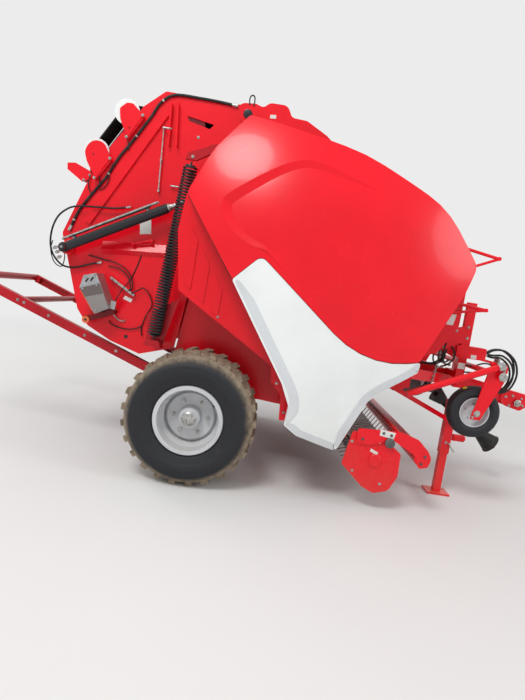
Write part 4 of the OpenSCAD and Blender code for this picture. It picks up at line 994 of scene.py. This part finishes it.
# Banks of the covers' fields
# The red covers are pressed with a sunken field. A sloped bank runs round it, wide at the
# rear and out to nothing at both ends, from the skin down to the field's floor.
crease_line = [
    (600, 1440), (520, 1512), (430, 1590), (345, 1650), (250, 1672), (155, 1716), (74, 1783),
    (26, 1856), (15, 1920), (29, 1967), (63, 2003), (147, 2069), (246, 2142), (346, 2209),
    (448, 2262), (532, 2284), (620, 2279), (719, 2257), (818, 2226), (936, 2191), (1036, 2158)
]
least_depth, bank_slope = 0.6, 2.35
level_x, level_z, deeper_up, deeper_back = 815, 1810, 0.0229, 0.0355
over_skin, over_floor, under_edge = 0.3, 0.5, 0.2


def field_depth(x, z):
    """The field's floor is a flat slope, deepest at the upper rear."""
    return max(least_depth, deeper_up * (z - level_z) - deeper_back * (x - level_x))


for side, s in sides.items():
    bank = Shape()
    crease = smooth_path([Vector(point) for point in crease_line], 3)
    rings = []
    for i, b in enumerate(crease[2:-2], 2):
        depth = field_depth(b.x, b.y)
        a = beside(crease, i, bank_slope * depth)
        yb = skin_y(b.x, b.y)
        rings.append([
            at(b.x, s * (yb + over_skin), b.y),
            at(a.x, s * (skin_y(a.x, a.y) - depth + over_floor), a.y),
            at(b.x, s * (yb - depth + under_edge), b.y)
        ])
    bank.rings(rings)
    bank.place(f"cover_bank_{side}", red, f"cover_{side}")

# Edging of the covers
# A black rubber strip is pushed over the inner edge of the red covers' rear lip, so that
# the sheet closes softly on the frame.
rear_edge = [(108, 2540), (20, 2420), (-90, 2268), (-160, 2130), (-222, 1985), (-226, 1960),
             (-60, 1735), (60, 1566), (150, 1440)]
lip_depth = 58
for side, s in sides.items():
    edging = Shape()
    edging.tube(smooth_path([at(x, s * (skin_y(x, z) - lip_depth), z) for x, z in rear_edge], 5),
                5, 8)
    edging.place(f"cover_edging_{side}", guard_plastic, f"cover_{side}")

# Bolts of the wing panels
# A few plated bolts near their lower edges hold the ribbed red wing panels on the short
# rods of the frame.
wing_face = 960
for side, s in sides.items():
    bolts = Shape()
    bolts.bolts([(560, 760), (640, 560), (80, 1165)], s * wing_face, 8)
    bolts.place(f"wing_bolts_{side}", zinc, "frame")

# Top of the frame
# Lifting eyes of bent wire are welded on behind the hump, and dark turned caps at the
# tailgate's hinge pins paint the shade in the hinges' bores.
eye_y, hinge, hinge_out = 629, (65, 2640), 21.6
lifting_eye = [(66, 2716), (60, 2750), (64, 2776), (80, 2787), (94, 2776), (98, 2750), (96, 2716)]
for side, s in sides.items():
    eye_loop = Shape()
    eye_loop.tube(smooth_path([at(x, s * eye_y, z) for x, z in lifting_eye], 5), 5, 9)
    eye_loop.place(f"lifting_eye_{side}", satin_black, "frame")
    # The dark caps at the hinges are painted shade of the bores.
    cap = Shape()
    cap.turned(on_gate(s, hinge[0], hinge_out, hinge[1]), outward[side],
               [(0, 33), (3, 33), (4, 30)], 28)
    cap.place(f"hinge_bore_shade_{side}", satin_black, "frame")

# Drawbar and jack
# Plated bolts hold the pivot plates and the hitch ring's flange. The jack has a crank of
# bent rod with a red grip, and a short chain hangs below the valves.
pivot_face, flange_face = 74, 3085.3
trim = Shape()
for s in sides.values():
    trim.bolts([(2600, 800), (2660, 815), (2740, 800), (2760, 740), (2640, 725)],
               s * pivot_face, 9)
    trim.turned(at(2704, s * (pivot_face + 14), 758), (0, s, 0),
                [(0, 34), (6, 34), (10, 24), (22, 22)], 6)
for y in (-60, 60):
    for z in (690, 770):
        trim.bolt(at(flange_face, y, z), (1, 0, 0), 11)
trim.place("drawbar_bolts", zinc, "frame")
jack_x, jack_y = 1985, -500
crank_z = 464
crank_arm = [(20, -36, 420), (40, -42, 392), (74, -42, 356)]
crank = Shape()
crank.turned(at(jack_x, jack_y, 760), (0, 0, 1), [(0, 38), (6, 38), (8, 22), (14, 20)], 20)
crank.turned(at(jack_x + 35, jack_y, crank_z), (1, 0, 0),
             [(0, 20), (8, 20), (10, 12), (20, 12)], 16)
crank.tube(smooth_path([at(jack_x + x, jack_y + y, z) for x, y, z in crank_arm], 4), 7, 8)
crank.bolt(at(jack_x, jack_y - 35, 420), (0, -1, 0), 9)
crank.place("jack_crank", zinc, "frame")
grip = Shape()
grip.turned(at(jack_x + 50, jack_y, crank_z), (1, 0, 0),
            [(0, 22), (6, 28), (92, 28), (104, 18)], 24)
grip.place("jack_grip", red, "frame")
link_count, link_steps, half_long, half_wide = 15, 16, 0.014, 0.008
chain_top, chain_fall = (1884, -338, 1150), (-60, -70, -270)
ahead, up = Vector((-0.21, -0.24, -0.95)), Vector((0, 1, -0.25))
chain = Shape()
for k in range(link_count):
    t = k / (link_count - 1)
    centre = at(*(top + fall * t for top, fall in zip(chain_top, chain_fall)))
    across = up if k % 2 else ahead.cross(up)
    link = []
    for j in range(link_steps + 1):
        turn = math.tau * j / link_steps
        link.append(centre + half_long * math.cos(turn) * ahead
                    + half_wide * math.sin(turn) * across)
    chain.tube(link, 3, 6)
chain.place("hanging_chain", zinc, "frame")

# Power shaft
# The shaft runs in a black plastic guard with moulded ribs and a collar at its free end,
# where the steel socket of the joint shows.
finish(guard_plastic, "pto_shaft")
start, end, socket_gap = at(1960, 0, 760), at(2560, 0, 360), 0.0285
line = (end - start).normalized()
length = (end - start).length * 1000
# Rows of (distance along the shaft, profile, sides).
guard_rings = [(distance, [(0, 34), (2, 39), (8, 39), (10, 34)], 28)
               for distance in (168, 186, 204)]
guard_rings += [(length - 150, [(0, 34), (4, 47), (22, 47), (26, 40)], 28),
                (length + 24, [(0, 88), (2, 91), (5, 91), (6, 84)], 40)]
guard = Shape()
for distance, profile, count in guard_rings:
    guard.turned(start + line * distance / 1000, line, profile, count)
guard.place("guard_ribs", guard_plastic, "pto_shaft")
socket = Shape()
socket.turned(end + line * socket_gap, line, [(0, 28), (26, 28), (28, 24), (40, 24)], 24)
socket.place("shaft_socket", steel, "pto_shaft")

# Bale kicker
# The raised kicker is welded from box-section legs and round cross tubes in red paint,
# darkened as painted shade, and plated bolts go through its legs.
leg_face = 605
for side, s in sides.items():
    bolts = Shape()
    bolts.bolts([(-955, 850), (-700, 764), (-1450, 1030), (-1250, 958), (-1500, 1045),
                 (-1800, 1152)], s * leg_face, 9)
    bolts.place(f"kicker_bolts_{side}", zinc, "kicker")

# Floor
# Pale ground that takes the machine's shadow. Further out it turns into a plain glow of
# the sky's own pale grey, so that it meets the sky without a line and white parts show.
sky_level = 0.84
glow_from, glow_to = 3.5, 11


def pale_floor():
    ground = Surface("floor", Roughness=0.9)
    rub = ground.place.noise(0.8, 4)
    ground.set(Base_Color=rub.blend(tone(227, 227, 226), tone(221, 221, 220)))
    glow = rub.node("ShaderNodeEmission", {"Strength": sky_level})
    reach = rub.node(
        "ShaderNodeVectorMath", {0: ground.place}, output="Value", operation="LENGTH"
    )
    shaded = Field(ground.tree, ground.shader.outputs["BSDF"])
    mixed = rub.node(
        "ShaderNodeMixShader", {0: reach.ramp(glow_from, glow_to), 1: shaded, 2: glow}
    )
    ground.tree.links.new(mixed.socket, ground.tree.nodes["Material Output"].inputs["Surface"])
    return ground.material


floor_mesh = bpy.data.meshes.new("floor")
floor_shape = bmesh.new()
bmesh.ops.create_grid(floor_shape, x_segments=2, y_segments=2, size=60)
floor_shape.to_mesh(floor_mesh)
floor_shape.free()
floor = bpy.data.objects.new("floor", floor_mesh)
floor.location.z = -0.002
scene.collection.objects.link(floor)
floor_mesh.materials.append(pale_floor())

# Sky
# An even white light from all round. The camera, and what mirrors or shines through, see
# it as the same pale grey that the floor turns into.
sky_light = 0.6
world = bpy.data.worlds.new("sky")
world.use_nodes = True
scene.world = world
sky = world.node_tree
ray = sky.nodes.new("ShaderNodeLightPath")
backdrop, glossy, clear = (
    Field(sky, ray.outputs[kind])
    for kind in ("Is Camera Ray", "Is Glossy Ray", "Is Transmission Ray")
)
shown = backdrop.maths("MAXIMUM", glossy.maths("MAXIMUM", clear))
sky_strength = shown * (sky_level - sky_light) + sky_light
sky.links.new(sky_strength.socket, sky.nodes["Background"].inputs["Strength"])
sky.nodes["Background"].inputs["Color"].default_value = (1, 1, 1, 1)
